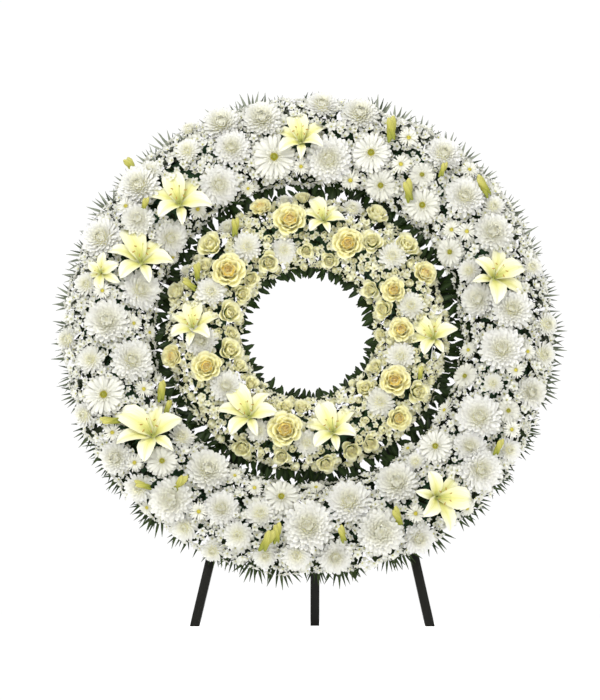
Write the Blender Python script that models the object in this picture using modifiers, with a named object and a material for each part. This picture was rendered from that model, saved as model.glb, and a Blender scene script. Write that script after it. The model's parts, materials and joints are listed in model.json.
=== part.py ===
"""Funeral wreath on a folding steel stand.

Two foam rings in plastic trays, an outer ring of white blooms and an inner ring of
yellow and white ones, with leaves at both edges of each ring. The rings hang on two
steel hoops, welded to two splayed front legs, and a hinged rear leg props the stand.

Sizes are in metres. A ring piece is modelled lying flat: X across, Y up the wreath
and Z out of its face. An empty then leans it back. The stand faces -Y.
"""
import math
import random

import bmesh
import bpy
from mathutils import Matrix, Vector

FIT = 0.0003                      # gap between pieces that touch

# The photograph's view, for placing blooms by where they show in its 600 x 700 frame
PIXEL = 0.0022                    # one pixel on the wreath, from a 105 mm gerbera 48 pixels wide
CENTRE_PX = (308.0, 336.0)        # middle of the rings' backs
VIEW_DISTANCE = 8.6
VIEW_PITCH = math.radians(3.8)

# Stand
LEAN = math.radians(9.0)
CENTRE_HEIGHT = 0.637
DEPTH_SHIFT = -0.0585             # puts the middle of the whole depth at Y = 0
TUBE = 0.020                      # square tube, measured across
FOOT_LEFT = -0.246
FOOT_RIGHT = 0.264
FOOT_DOWN = 0.6426                # from the centre down the wreath's plane to the floor
LEG_TOP = -0.185
LEG_SLOPE_LEFT = 0.230            # sideways run for each unit of rise
LEG_SLOPE_RIGHT = -0.216
UPPER_BAR = -0.202
LOWER_BAR = -0.440
HINGE_X = 0.016
REAR_FOOT_BEHIND = 0.283          # from the hinge pin back to the rear foot
STUB = 0.014                      # rear leg above its pin
PIN_OFF_PLATE = 0.0173
PIN_RADIUS = 0.004
PIN_PLAY = 0.0003
PLATE = 0.003
FLAT_BAR = 0.004                  # hoops and spokes
HOOP_WIDTH = 0.024

# Rings: middle radius, half width and dome height of the foam
TURNS = 24                        # flats round each ring
FLAT = math.tau / TURNS
OUTER = {"radius": 0.436, "half": 0.056, "dome": 0.044, "reach": 0.096, "rise": 0.062,
         "sectors": 8, "start": 0.0}
INNER = {"radius": 0.228, "half": 0.044, "dome": 0.036, "reach": 0.076, "rise": 0.052,
         "sectors": 4, "start": math.pi / 4}
TRAY_WALL = 0.002
TRAY_DEPTH = 0.015
FOAM_FOOT = 0.0155                # where the foam's dome starts, above the tray's back
CORE_THICK = 0.006
HEAD_FOOT = 0.018                 # the bloom heads lie on an ellipse that starts here
ROOT_DEPTHS = (0.0030, 0.0046)
ROOT_RADIUS = 0.0035
RIDGE_MARGIN = 5.0                # degrees over the dome that a root keeps from its ridge
LEAF_STRIP = 0.008                # leaves grow this far outside the foam's edge
LEAF_TOP = 0.0205                 # top and underside of a leaf's root, above the tray's back
LEAF_UNDER = 0.0180

# Blooms as they show in the photograph: x, y and radius in its pixels
OUTER_GERBERAS = [(274, 157, 24), (371, 153, 20), (423, 205, 20), (451, 252, 17), (104, 395, 22),
                  (436, 448, 19), (281, 498, 20), (508, 411, 13), (466, 377, 15), (162, 462, 15),
                  (381, 185, 19), (422, 175, 13)]
OUTER_LILIES = [(177, 192, 30), (140, 250, 30), (300, 130, 25), (500, 272, 26), (148, 427, 30),
                (445, 497, 28), (100, 272, 17), (272, 537, 15)]
OUTER_MUMS = [(222, 125, 20), (262, 120, 20), (322, 106, 18), (360, 115, 20), (443, 155, 19),
              (232, 148, 17), (219, 185, 21), (329, 159, 24), (140, 187, 22), (150, 173, 14),
              (188, 152, 13), (190, 131, 12), (102, 238, 22), (138, 220, 15), (170, 238, 19),
              (87, 285, 13), (140, 290, 21), (107, 322, 20), (67, 340, 15), (91, 360, 14),
              (131, 361, 21), (85, 415, 15), (117, 458, 18), (181, 438, 14), (140, 488, 16),
              (172, 500, 22), (185, 527, 16), (207, 472, 22), (221, 509, 16), (260, 514, 14),
              (238, 535, 15), (213, 550, 14), (265, 556, 14), (297, 555, 16), (308, 527, 23),
              (335, 557, 18), (349, 503, 22), (397, 484, 21), (416, 463, 11), (380, 532, 23),
              (418, 538, 18), (480, 470, 22), (470, 447, 15), (508, 450, 14), (479, 418, 21),
              (530, 393, 17), (502, 350, 21), (543, 355, 15), (545, 325, 14), (512, 310, 19),
              (479, 300, 18), (470, 271, 13), (493, 233, 19), (493, 207, 13), (465, 197, 19),
              (531, 268, 12), (493, 384, 10)]
OUTER_DAISIES = [(351, 179, 11), (301, 166, 9), (401, 165, 9), (452, 230, 9), (467, 232, 9),
                 (197, 209, 10), (127, 208, 9), (103, 292, 8), (133, 324, 8), (148, 333, 8),
                 (143, 390, 9), (113, 433, 9), (135, 463, 9), (148, 507, 9), (199, 512, 9),
                 (234, 478, 8), (254, 490, 9), (316, 490, 8), (406, 447, 9), (446, 412, 9),
                 (510, 430, 9), (415, 514, 9), (470, 351, 9), (515, 371, 8), (527, 352, 8),
                 (466, 508, 9), (185, 264, 9), (408, 140, 10), (247, 187, 8), (468, 172, 9)]
INNER_ROSES = [(290, 222, 17), (348, 244, 16), (228, 272, 17), (394, 291, 13), (402, 331, 13),
               (395, 382, 15), (397, 418, 14), (285, 431, 17), (207, 368, 15), (176, 357, 14),
               (423, 275, 14), (262, 210, 13)]
INNER_BUDS = [(213, 248, 13), (375, 218, 12), (405, 248, 13), (372, 243, 10), (330, 260, 9),
              (268, 262, 9), (178, 293, 9), (205, 268, 8), (228, 314, 11), (231, 335, 8),
              (229, 352, 12), (238, 368, 8), (385, 310, 10), (416, 392, 11), (285, 409, 8),
              (302, 409, 8), (243, 447, 11), (282, 456, 9), (351, 450, 10), (370, 443, 9),
              (366, 389, 9), (372, 290, 10), (376, 368, 8), (382, 335, 7), (250, 385, 8),
              (250, 278, 9), (325, 462, 10), (306, 250, 8)]
INNER_LILIES = [(323, 213, 21), (192, 320, 26), (424, 333, 26), (246, 409, 27), (331, 427, 26)]
INNER_MUMS = [(284, 200, 10), (352, 210, 13), (228, 228, 12), (247, 247, 14), (284, 250, 14),
              (392, 257, 14), (211, 292, 14), (411, 306, 13), (201, 341, 15), (401, 357, 14),
              (226, 387, 15), (380, 402, 14), (259, 431, 12), (307, 443, 13), (187, 272, 8)]

LILY_RAISE = 0.034                # lilies stand above their neighbours by this
EDGE_ON = 0.22                    # how much smaller a bloom at the very edge is drawn
HEAD_GAP = 0.96                   # share of the room between two heads that they fill
BUNCH_GAP = 1.10                  # the same, inside one sector, where heads may join


# Materials

def material(name, colour, roughness, metallic=0.0):
    """One Principled material."""
    made = bpy.data.materials.new(name)
    made.use_nodes = True
    shader = made.node_tree.nodes["Principled BSDF"]
    shader.inputs["Base Color"].default_value = (*colour, 1.0)
    shader.inputs["Roughness"].default_value = roughness
    shader.inputs["Metallic"].default_value = metallic
    made.diffuse_color = (*colour, 1.0)
    return made


def make_materials():
    """Every finish of the wreath, by its slot's name."""
    return {
        "black_paint": material("black_paint", (0.016, 0.016, 0.013), 0.45),
        "pin_steel": material("pin_steel", (0.45, 0.45, 0.46), 0.35, 1.0),
        "green_plastic": material("green_plastic", (0.02, 0.06, 0.03), 0.5),
        "green_foam": material("green_foam", (0.03, 0.10, 0.05), 0.95),
        "dark_leaf": material("dark_leaf", (0.018, 0.040, 0.010), 0.42),
        "white_petal": material("white_petal", (0.80, 0.79, 0.72), 0.55),
        "yellow_petal": material("yellow_petal", (0.80, 0.66, 0.22), 0.55),
    }


# Small helpers

def add_object(name, mesh, home, slot, parent=None):
    """An object for a mesh, in its collection, with one material."""
    made = bpy.data.objects.new(name, mesh)
    home.objects.link(made)
    made.parent = parent
    if slot:
        mesh.materials.clear()
        mesh.materials.append(slot)
    return made


def mesh_from(name, points, faces):
    """A mesh with its normals pointing out."""
    form = bmesh.new()
    corners = [form.verts.new(point) for point in points]
    for face in faces:
        form.faces.new([corners[index] for index in face])
    bmesh.ops.recalc_face_normals(form, faces=form.faces)
    mesh = bpy.data.meshes.new(name)
    form.to_mesh(mesh)
    form.free()
    return mesh


def bar(name, size, home, slot, parent=None):
    """A rectangular bar round its own middle."""
    form = bmesh.new()
    bmesh.ops.create_cube(form, size=1.0)
    bmesh.ops.scale(form, vec=size, verts=form.verts)
    mesh = bpy.data.meshes.new(name)
    form.to_mesh(mesh)
    form.free()
    return add_object(name, mesh, home, slot, parent)


def rod(name, radius, length, home, slot, sides=16):
    """A round rod along Z."""
    form = bmesh.new()
    bmesh.ops.create_cone(form, cap_ends=True, segments=sides, radius1=radius, radius2=radius,
                          depth=length)
    mesh = bpy.data.meshes.new(name)
    form.to_mesh(mesh)
    form.free()
    mesh.shade_smooth()
    mesh.set_sharp_from_angle(angle=math.radians(40))
    return add_object(name, mesh, home, slot)


def cut(piece, cutter):
    """Take a cutter out of a piece."""
    cutter.hide_render = True
    cutter.display_type = "WIRE"
    step = piece.modifiers.new("cut", "BOOLEAN")
    step.operation = "DIFFERENCE"
    step.object = cutter


def turned_ring(name, outline, home, slot, parent):
    """A ring turned from a closed outline of (radius, height) points."""
    edges = [(index, (index + 1) % len(outline)) for index in range(len(outline))]
    mesh = bpy.data.meshes.new(name)
    mesh.from_pydata([(radius, 0.0, height) for radius, height in outline], edges, [])
    made = add_object(name, mesh, home, slot, parent)
    turn = made.modifiers.new("turn", "SCREW")
    turn.axis = "Z"
    turn.steps = TURNS
    turn.render_steps = TURNS
    turn.use_merge_vertices = True
    turn.merge_threshold = 0.00001
    return made


def stitch(low, low_angles, high, high_angles, closed=True):
    """Triangles between two rows of point numbers, walked by angle."""
    faces = []
    i = j = 0
    low_count = len(low)
    high_count = len(high)
    low_steps = low_count if closed else low_count - 1
    high_steps = high_count if closed else high_count - 1
    while i < low_steps or j < high_steps:
        next_low = low_angles[(i + 1) % low_count] + (math.tau if i + 1 >= low_count else 0.0)
        next_high = high_angles[(j + 1) % high_count] + (math.tau if j + 1 >= high_count else 0.0)
        if j >= high_steps or (i < low_steps and next_low <= next_high):
            faces.append((low[i % low_count], low[(i + 1) % low_count], high[j % high_count]))
            i += 1
        else:
            faces.append((low[i % low_count], high[(j + 1) % high_count], high[j % high_count]))
            j += 1
    return faces


# Places on the rings

def flat_corner(index, radius, height):
    """A corner of the ring's flats, at a radius and a height."""
    angle = index * FLAT
    return Vector((radius * math.cos(angle), radius * math.sin(angle), height))


def on_flats(angle, radius, height):
    """The point at an angle on the straight flat between two corners."""
    index = math.floor(angle / FLAT + 1e-9)
    share = angle / FLAT - index
    return flat_corner(index, radius, height).lerp(flat_corner(index + 1, radius, height), share)


def dome_outline(ring, grow):
    """The foam's dome across the ring, as (offset, height) points, grown outwards."""
    half = ring["half"] + grow
    rise = ring["dome"] + grow
    return [(half * math.cos(turn), FOAM_FOOT + rise * math.sin(turn))
            for turn in (math.radians(45.0 * step) for step in range(5))]


def outline_point(outline, turn):
    """A point on the dome's straight sides, at a turn of 0 to 180 degrees."""
    place = min(max(turn / 45.0, 0.0), 3.9999)
    index = int(place)
    share = place - index
    start = outline[index]
    end = outline[index + 1]
    return (start[0] + (end[0] - start[0]) * share, start[1] + (end[1] - start[1]) * share)


def on_core(ring, angle, turn, grow):
    """A point over the foam, and the way out of the surface there."""
    outline = dome_outline(ring, grow)
    offset, height = outline_point(outline, turn)
    place = on_flats(angle, ring["radius"] + offset, height)
    index = min(int(turn / 45.0), 3)
    side = Vector((outline[index + 1][0] - outline[index][0],
                   outline[index + 1][1] - outline[index][1]))
    flat_angle = (math.floor(angle / FLAT + 1e-9) + 0.5) * FLAT
    outward = Vector((side.y * math.cos(flat_angle), side.y * math.sin(flat_angle), -side.x))
    return place, outward.normalized()


def seen_on_ring(ring, x, y, raised):
    """Where a bloom seen at a pixel has its head, with its angle and its turn over the dome."""
    tilt = LEAN + VIEW_PITCH
    reach = ring["reach"] + raised
    rise = ring["rise"] + raised
    up = 0.0
    height = HEAD_FOOT + rise
    turn = 90.0
    for _ in range(8):
        scale = 1.0 + (up * math.sin(tilt) - height * math.cos(tilt)) / VIEW_DISTANCE
        across = (x - CENTRE_PX[0]) * PIXEL * scale
        seen_up = (CENTRE_PX[1] - y) * PIXEL * scale
        up = (seen_up - height * math.sin(tilt)) / math.cos(tilt)
        offset = math.hypot(across, up) - ring["radius"]
        turn = math.degrees(math.acos(min(max(offset / reach, -0.94), 0.94)))
        height = HEAD_FOOT + rise * math.sin(math.radians(turn))
    angle = math.atan2(up, across) % math.tau
    radius = ring["radius"] + reach * math.cos(math.radians(turn))
    place = Vector((radius * math.cos(angle), radius * math.sin(angle), height))
    facing = Vector((math.cos(math.radians(turn)) / reach * math.cos(angle),
                     math.cos(math.radians(turn)) / reach * math.sin(angle),
                     math.sin(math.radians(turn)) / rise))
    return place, facing.normalized(), angle, turn


# Blooms: each is a list of star-shaped rings, as shares of its radius

ROSETTES = {
    # petals, then (tip radius, tip height, valley radius, valley height) from the edge inwards
    "large_mum": (7, [(1.0, 0.06, 0.74, 0.04), (0.74, 0.28, 0.52, 0.20), (0.44, 0.42, 0.28, 0.34)]),
    "mum": (6, [(1.0, 0.05, 0.70, 0.04), (0.62, 0.32, 0.40, 0.24)]),
    "gerbera": (10, [(1.0, 0.10, 0.80, 0.04), (0.42, 0.12, 0.34, 0.16)]),
    "small_gerbera": (8, [(1.0, 0.08, 0.74, 0.02), (0.42, 0.14, 0.34, 0.18)]),
    "daisy": (5, [(1.0, 0.05, 0.55, 0.02)]),
    "rose": (5, [(1.0, 0.22, 0.86, 0.14), (0.74, 0.20, 0.68, 0.16), (0.62, 0.50, 0.52, 0.42),
                 (0.30, 0.44, 0.24, 0.40)]),
    "bud": (4, [(1.0, 0.25, 0.80, 0.16), (0.56, 0.78, 0.44, 0.66)]),
}
CROWN = {"large_mum": 0.46, "mum": 0.40, "gerbera": 0.24, "small_gerbera": 0.30, "daisy": 0.16,
         "rose": 0.62, "bud": 0.84}


def head_frame(facing, spin):
    """Two directions across a head, square to the way it faces."""
    first = facing.orthogonal().normalized()
    first.rotate(Matrix.Rotation(spin, 3, facing))
    return first, facing.cross(first)


def stem_points(points, bloom):
    """Three points of the neck and three of the root, sunk in the core."""
    root = bloom["root"]
    out = bloom["out"]
    neck = bloom["head"] - bloom["facing"] * bloom["neck"]
    across = out.orthogonal()
    across.rotate(Matrix.Rotation(bloom["spin"], 3, out))
    rings = []
    for middle, axis in ((neck, bloom["facing"]), (root - out * bloom["sunk"], out)):
        first = (across - axis * across.dot(axis)).normalized()
        ring = []
        for step in range(3):
            turned = first.copy()
            turned.rotate(Matrix.Rotation(step * math.tau / 3, 3, axis))
            ring.append(len(points))
            points.append(middle + turned * ROOT_RADIUS)
        rings.append(ring)
    return rings


def close_below(points, faces, rim, neck, root, head, first, second):
    """The underside of a head: from its rim to the neck, and down to the root."""
    def turn_of(index):
        away = points[index] - head
        return math.atan2(away.dot(second), away.dot(first)) % math.tau

    neck_order = sorted(neck, key=turn_of)
    rim_order = sorted(rim, key=turn_of)
    faces += stitch(neck_order, [turn_of(i) for i in neck_order],
                    rim_order, [turn_of(i) for i in rim_order])
    for step in range(3):
        after = (step + 1) % 3
        faces.append((neck[step], neck[after], root[after], root[step]))
    faces.append(tuple(root))


def rosette(bloom):
    """A head of petals in layers, on its stem."""
    kind = bloom["kind"]
    petals, layers = ROSETTES[kind]
    head = bloom["head"]
    facing = bloom["facing"]
    size = bloom["size"]
    first, second = head_frame(facing, bloom["spin"])
    points = []
    faces = []
    rings = []
    for level, (tip, tip_up, valley, valley_up) in enumerate(layers):
        ring = []
        for step in range(2 * petals):
            is_tip = (step + level) % 2 == 0
            radius = size * (tip if is_tip else valley)
            rise = size * (tip_up if is_tip else valley_up)
            turn = step * math.pi / petals
            ring.append(len(points))
            points.append(head + first * radius * math.cos(turn) + second * radius * math.sin(turn)
                          + facing * rise)
        rings.append(ring)
    for wide, narrow in zip(rings, rings[1:]):
        for step in range(2 * petals):
            after = (step + 1) % (2 * petals)
            faces.append((wide[step], wide[after], narrow[after]))
            faces.append((wide[step], narrow[after], narrow[step]))
    crown = len(points)
    points.append(head + facing * size * CROWN[kind])
    for step in range(2 * petals):
        faces.append((rings[-1][step], rings[-1][(step + 1) % (2 * petals)], crown))
    neck, root = stem_points(points, bloom)
    close_below(points, faces, rings[0], neck, root, head, first, second)
    return points, faces


def lily(bloom):
    """Six pointed petals that arch out of a deep throat, on a stem."""
    head = bloom["head"]
    facing = bloom["facing"]
    size = bloom["size"]
    first, second = head_frame(facing, bloom["spin"])
    points = []
    faces = []

    def add(radius, turn, rise):
        points.append(head + first * size * radius * math.cos(turn)
                      + second * size * radius * math.sin(turn) + facing * size * rise)
        return len(points) - 1

    throat = add(0.0, 0.0, -0.16)
    gaps = [add(0.24, step * math.tau / 6, 0.02) for step in range(6)]
    rim = []
    for step in range(6):
        middle = (step + 0.5) * math.tau / 6
        left_gap = gaps[step]
        right_gap = gaps[(step + 1) % 6]
        left = add(0.64, middle - 0.36, 0.24)
        right = add(0.64, middle + 0.36, 0.24)
        tip = add(1.0, middle, 0.10)
        top = add(0.52, middle, 0.19)
        under = add(0.52, middle, 0.13)
        faces += [(throat, left_gap, top), (throat, top, right_gap), (left_gap, left, top),
                  (left, tip, top), (tip, right, top), (right, right_gap, top),
                  (left, left_gap, under), (tip, left, under), (right, tip, under),
                  (right_gap, right, under)]
        rim += [left_gap, under]
    neck, root = stem_points(points, bloom)
    close_below(points, faces, rim, neck, root, head, first, second)
    return points, faces


def sector_of(plan):
    """The number of the sector that a bloom stands in."""
    ring = plan["ring"]
    return int((plan["angle"] - ring["start"]) % math.tau / math.tau * ring["sectors"])


def plan_blooms():
    """Every bloom with its place, its size after its neighbours' room, and its ring."""
    plans = []
    lists = [(OUTER, "gerbera", OUTER_GERBERAS), (OUTER, "lily", OUTER_LILIES),
             (OUTER, "mum", OUTER_MUMS), (OUTER, "daisy", OUTER_DAISIES),
             (INNER, "rose", INNER_ROSES), (INNER, "bud", INNER_BUDS),
             (INNER, "lily", INNER_LILIES), (INNER, "mum", INNER_MUMS)]
    for ring, kind, spots in lists:
        for x, y, radius in spots:
            raised = LILY_RAISE if kind == "lily" else 0.0
            head, facing, angle, turn = seen_on_ring(ring, x, y, raised)
            edge = 1.0 - EDGE_ON * abs(math.cos(math.radians(turn)))
            plans.append({"ring": ring, "kind": kind, "head": head, "facing": facing,
                          "angle": angle, "turn": turn, "size": radius * PIXEL * edge})
    for plan in plans:
        if plan["kind"] == "gerbera" and plan["size"] < 0.034:
            plan["kind"] = "small_gerbera"
        if plan["kind"] == "mum" and plan["size"] > 0.043:
            plan["kind"] = "large_mum"
    wanted = [plan["size"] for plan in plans]
    for index, plan in enumerate(plans):
        for other, rival in enumerate(plans):
            if other == index or rival["ring"] is not plan["ring"]:
                continue
            if (plan["kind"] == "lily") != (rival["kind"] == "lily"):
                if plan["kind"] != "lily":
                    room = (plan["head"] - rival["head"] + rival["facing"] * LILY_RAISE).length
                    plan["size"] = min(plan["size"], max(room - 2.2 * ROOT_RADIUS, 0.012))
                continue
            same = sector_of(plan) == sector_of(rival)
            room = (plan["head"] - rival["head"]).length * (BUNCH_GAP if same else HEAD_GAP)
            share = room / (wanted[index] + wanted[other])
            if share < 1.0:
                plan["size"] = min(plan["size"], wanted[index] * share)
    return plans


def set_stem(plan, start, end):
    """Root a bloom in its own sector's core."""
    ring = plan["ring"]
    margin = 0.009 / (ring["radius"] - ring["half"])
    angle = min(max(plan["angle"], start + margin), end - margin)
    corner = round(angle / FLAT) * FLAT
    if abs(angle - corner) < margin * 0.5:
        angle = corner + margin * 0.5
    turn = min(max(plan["turn"], 52.0), 128.0)
    if abs(turn - 90.0) < RIDGE_MARGIN:
        turn = 90.0 + math.copysign(RIDGE_MARGIN, turn - 90.0)
    plan["root"], plan["out"] = on_core(ring, angle, turn, CORE_THICK + 2 * FIT)
    length = (plan["head"] - plan["root"]).length
    plan["neck"] = min(0.45 * length, 0.35 * plan["size"] + 0.004)


# Sector solids

def core_patch(ring, start, end):
    """A thin arched body over the foam, which the blooms stand out of."""
    inset = 1.2 * FIT / (ring["radius"] - ring["half"])
    turns = (36.0, 45.0, 90.0, 135.0, 144.0)
    inner = [outline_point(dome_outline(ring, 2 * FIT), turn) for turn in turns]
    outer = [outline_point(dome_outline(ring, 2 * FIT + CORE_THICK), turn) for turn in turns]
    outline = inner + outer[::-1]
    steps = round((end - start) / FLAT)
    angles = [start + inset] + [start + step * FLAT for step in range(1, steps)] + [end - inset]
    points = [on_flats(angle, ring["radius"] + offset, height)
              for angle in angles for offset, height in outline]
    faces = lofted(len(angles), len(outline))
    return points, faces


def lofted(rows, across):
    """Faces of a closed loft: rows of points, quads between them and a cap at each end."""
    faces = []
    for row in range(rows - 1):
        for step in range(across):
            after = (step + 1) % across
            base = row * across
            faces.append((base + step, base + after, base + across + after, base + across + step))
    faces.append(tuple(range(across)))
    faces.append(tuple(range((rows - 1) * across, rows * across)))
    return faces


def join_blooms(name, core, blooms, home, cutters, slot, parent):
    """One body: the core with every bloom of its sector fused to it by one union."""
    made = add_object(name, mesh_from(name, *core), home, slot, parent)
    bunch = bpy.data.collections.new(name + "_repeats")
    cutters.children.link(bunch)
    repeats = []
    for index, (points, faces) in enumerate(blooms):
        label = f"{name}_bloom_{index}"
        repeats.append(add_object(label, mesh_from(label, points, faces), bunch, slot, parent))
    step = made.modifiers.new("join", "BOOLEAN")
    step.operation = "UNION"
    step.operand_type = "COLLECTION"
    step.collection = bunch
    bpy.context.view_layer.update()
    graph = bpy.context.evaluated_depsgraph_get()
    joined = bpy.data.meshes.new_from_object(made.evaluated_get(graph))
    made.modifiers.remove(step)
    made.data = joined
    for repeat in repeats:
        bpy.data.objects.remove(repeat)
    bpy.data.collections.remove(bunch)
    keep_one_body(joined)
    return made


def drop_flat_folds(form):
    """Remove pairs of faces that lie back to back on the same three corners."""
    seen = {}
    for face in form.faces:
        seen.setdefault(frozenset(face.verts), []).append(face)
    folded = [face for pair in seen.values() if len(pair) == 2 for face in pair]
    bmesh.ops.delete(form, geom=folded, context="FACES")


def keep_one_body(mesh):
    """Drop scraps and sealed hollows: the body with the largest reach stays."""
    form = bmesh.new()
    form.from_mesh(mesh)
    bmesh.ops.triangulate(form, faces=form.faces)
    drop_flat_folds(form)
    unseen = set(form.verts)
    bodies = []
    while unseen:
        body = set()
        queue = [unseen.pop()]
        while queue:
            vert = queue.pop()
            body.add(vert)
            for edge in vert.link_edges:
                other = edge.other_vert(vert)
                if other in unseen:
                    unseen.remove(other)
                    queue.append(other)
        bodies.append(body)
    bodies.sort(key=len)
    for body in bodies[:-1]:
        bmesh.ops.delete(form, geom=list(body), context="VERTS")
    form.to_mesh(mesh)
    form.free()
    mesh.update()


def leaf_row(ring, side, start, end, leaves_a_flat, tip_range, tip_height, seed):
    """A row of pointed leaves along one edge of a ring, with the strip that they grow from."""
    draw = random.Random(seed)
    inset = 1.2 * FIT / (ring["radius"] - ring["half"])
    outline = dome_outline(ring, 2 * FIT)
    low_offset, low_height = outline_point(outline, 1.0)
    top_offset, top_height = outline_point(outline, 17.0)
    edge_offset = ring["half"] + LEAF_STRIP
    flats = round((end - start) / FLAT)
    count = flats * leaves_a_flat
    points = []
    faces = []

    def add(angle, offset, height):
        points.append(on_flats(angle, ring["radius"] + side * offset, height))
        return len(points) - 1

    def inside(angle):
        return min(max(angle, start + inset), end - inset)

    corners = [inside(start + step * FLAT) for step in range(flats + 1)]
    lows = [add(angle, low_offset, low_height) for angle in corners]
    tops = [add(angle, top_offset, top_height) for angle in corners]
    roots = [inside(start + step * FLAT / leaves_a_flat) for step in range(count + 1)]
    upper = [add(angle, edge_offset, LEAF_TOP) for angle in roots]
    lower = [add(angle, edge_offset, LEAF_UNDER) for angle in roots]
    faces += stitch(tops, corners, upper, roots, closed=False)
    faces += stitch(lows, corners, lower, roots, closed=False)
    for step in range(flats):
        faces.append((lows[step], lows[step + 1], tops[step + 1], tops[step]))
    faces.append((lows[0], tops[0], upper[0], lower[0]))
    faces.append((lows[-1], tops[-1], upper[-1], lower[-1]))
    pitch = FLAT / leaves_a_flat
    for step in range(count):
        angle = start + (step + 0.5 + draw.uniform(-0.28, 0.28)) * pitch
        radius = draw.uniform(*tip_range)
        tip = len(points)
        points.append(Vector((radius * math.cos(angle), radius * math.sin(angle),
                              draw.uniform(*tip_height))))
        faces.append((upper[step], upper[step + 1], tip))
        faces.append((lower[step], lower[step + 1], tip))
        faces.append((upper[step], lower[step], tip))
        faces.append((upper[step + 1], lower[step + 1], tip))
    return points, faces


# Wreath

def make_base(ring, name, home, slots, parent):
    """A tray, the foam in it and the flat steel hoop behind it."""
    middle = ring["radius"]
    inside = ring["half"] + FIT
    outside = inside + TRAY_WALL
    tray = [(middle + outside, TRAY_DEPTH), (middle + outside, 0.0), (middle - outside, 0.0),
            (middle - outside, TRAY_DEPTH), (middle - inside, TRAY_DEPTH),
            (middle - inside, TRAY_WALL), (middle + inside, TRAY_WALL),
            (middle + inside, TRAY_DEPTH)]
    turned_ring(name + "_tray", tray, home, slots["green_plastic"], parent)
    foot = TRAY_WALL + FIT
    dome = [(middle + offset, height) for offset, height in dome_outline(ring, 0.0)]
    foam = [(middle + ring["half"], foot), (middle - ring["half"], foot)] + dome[::-1]
    turned_ring(name + "_foam", foam, home, slots["green_foam"], parent)
    wide = middle + HOOP_WIDTH / 2
    slim = middle - HOOP_WIDTH / 2
    hoop = [(wide, -FIT), (wide, -FIT - FLAT_BAR), (slim, -FIT - FLAT_BAR), (slim, -FIT)]
    turned_ring(name + "_hoop", hoop, home, slots["black_paint"], parent)


def make_blooms(home, cutters, slots, parent):
    """The bloom sectors of both rings: eight outer and four inner."""
    plans = plan_blooms()
    spins = random.Random(12)
    for plan in plans:
        plan["spin"] = spins.uniform(0.0, math.tau)
        plan["sunk"] = spins.uniform(*ROOT_DEPTHS)
    for ring, name, slot in ((OUTER, "outer_blooms", "white_petal"),
                             (INNER, "inner_blooms", "yellow_petal")):
        width = math.tau / ring["sectors"]
        for sector in range(ring["sectors"]):
            start = ring["start"] + sector * width
            blooms = []
            for plan in plans:
                if plan["ring"] is not ring or sector_of(plan) != sector:
                    continue
                plan["angle"] = start + (plan["angle"] - start) % math.tau
                set_stem(plan, start, start + width)
                blooms.append(lily(plan) if plan["kind"] == "lily" else rosette(plan))
            join_blooms(f"{name}_{sector + 1}", core_patch(ring, start, start + width), blooms,
                        home, cutters, slots[slot], parent)


def make_leaves(home, slots, parent):
    """Rows of leaves: outer fringe, both sides of the gap, and round the hole."""
    rows = [("outer_fringe", OUTER, 1, 4, 8, (0.550, 0.576), (-0.004, 0.006), 3),
            ("outer_gap_leaves", OUTER, -1, 4, 3, (0.329, 0.336), (0.004, 0.012), 5),
            ("inner_gap_leaves", INNER, 1, 4, 3, (0.314, 0.322), (0.004, 0.012), 7),
            ("hole_leaves", INNER, -1, 8, 2, (0.119, 0.127), (0.006, 0.014), 9)]
    for name, ring, side, sectors, leaves, tips, heights, seed in rows:
        width = math.tau / sectors
        turn = math.pi / 4 if sectors == 4 else 0.0
        for sector in range(sectors):
            start = turn + sector * width
            label = f"{name}_{sector + 1}"
            mesh = mesh_from(label, *leaf_row(ring, side, start, start + width, leaves, tips,
                                              heights, seed + 20 * sector))
            add_object(label, mesh, home, slots["dark_leaf"], parent)


# Stand

def plane_frame():
    """The wreath's plane: its middle, its up-slope and the way it faces."""
    middle = Vector((0.0, DEPTH_SHIFT, CENTRE_HEIGHT))
    upslope = Vector((0.0, math.sin(LEAN), math.cos(LEAN)))
    facing = Vector((0.0, -math.cos(LEAN), math.sin(LEAN)))
    return middle, upslope, facing


def floor_cut_bar(name, top, foot, side, face, home, slot):
    """A square tube from its top down to a foot cut level at the floor."""
    along = (foot - top).normalized()
    half = TUBE / 2
    offsets = [side * a * half + face * b * half for a, b in ((-1, -1), (1, -1), (1, 1), (-1, 1))]
    points = [top + offset for offset in offsets]
    points += [corner - along * (corner.z / along.z) for corner in points]
    return add_object(name, mesh_from(name, points, lofted(2, 4)), home, slot)


def make_front_legs(home, slots):
    """Two splayed legs in the wreath's plane, behind the hoops."""
    middle, upslope, facing = plane_frame()
    behind = -(2 * FIT + FLAT_BAR + TUBE / 2)
    rise = FOOT_DOWN + LEG_TOP
    for name, foot_x, slope in (("leg_left", FOOT_LEFT, LEG_SLOPE_LEFT),
                                ("leg_right", FOOT_RIGHT, LEG_SLOPE_RIGHT)):
        foot = middle + upslope * -FOOT_DOWN + facing * behind
        foot.x += foot_x
        top = middle + upslope * LEG_TOP + facing * behind
        top.x += foot_x + slope * rise
        along = (foot - top).normalized()
        side = along.cross(facing).normalized()
        floor_cut_bar(name, top, foot, side, facing, home, slots["black_paint"])


def leg_x(foot_x, slope, height):
    """A front leg's middle at a height up the plane."""
    return foot_x + slope * (FOOT_DOWN + height)


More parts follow.
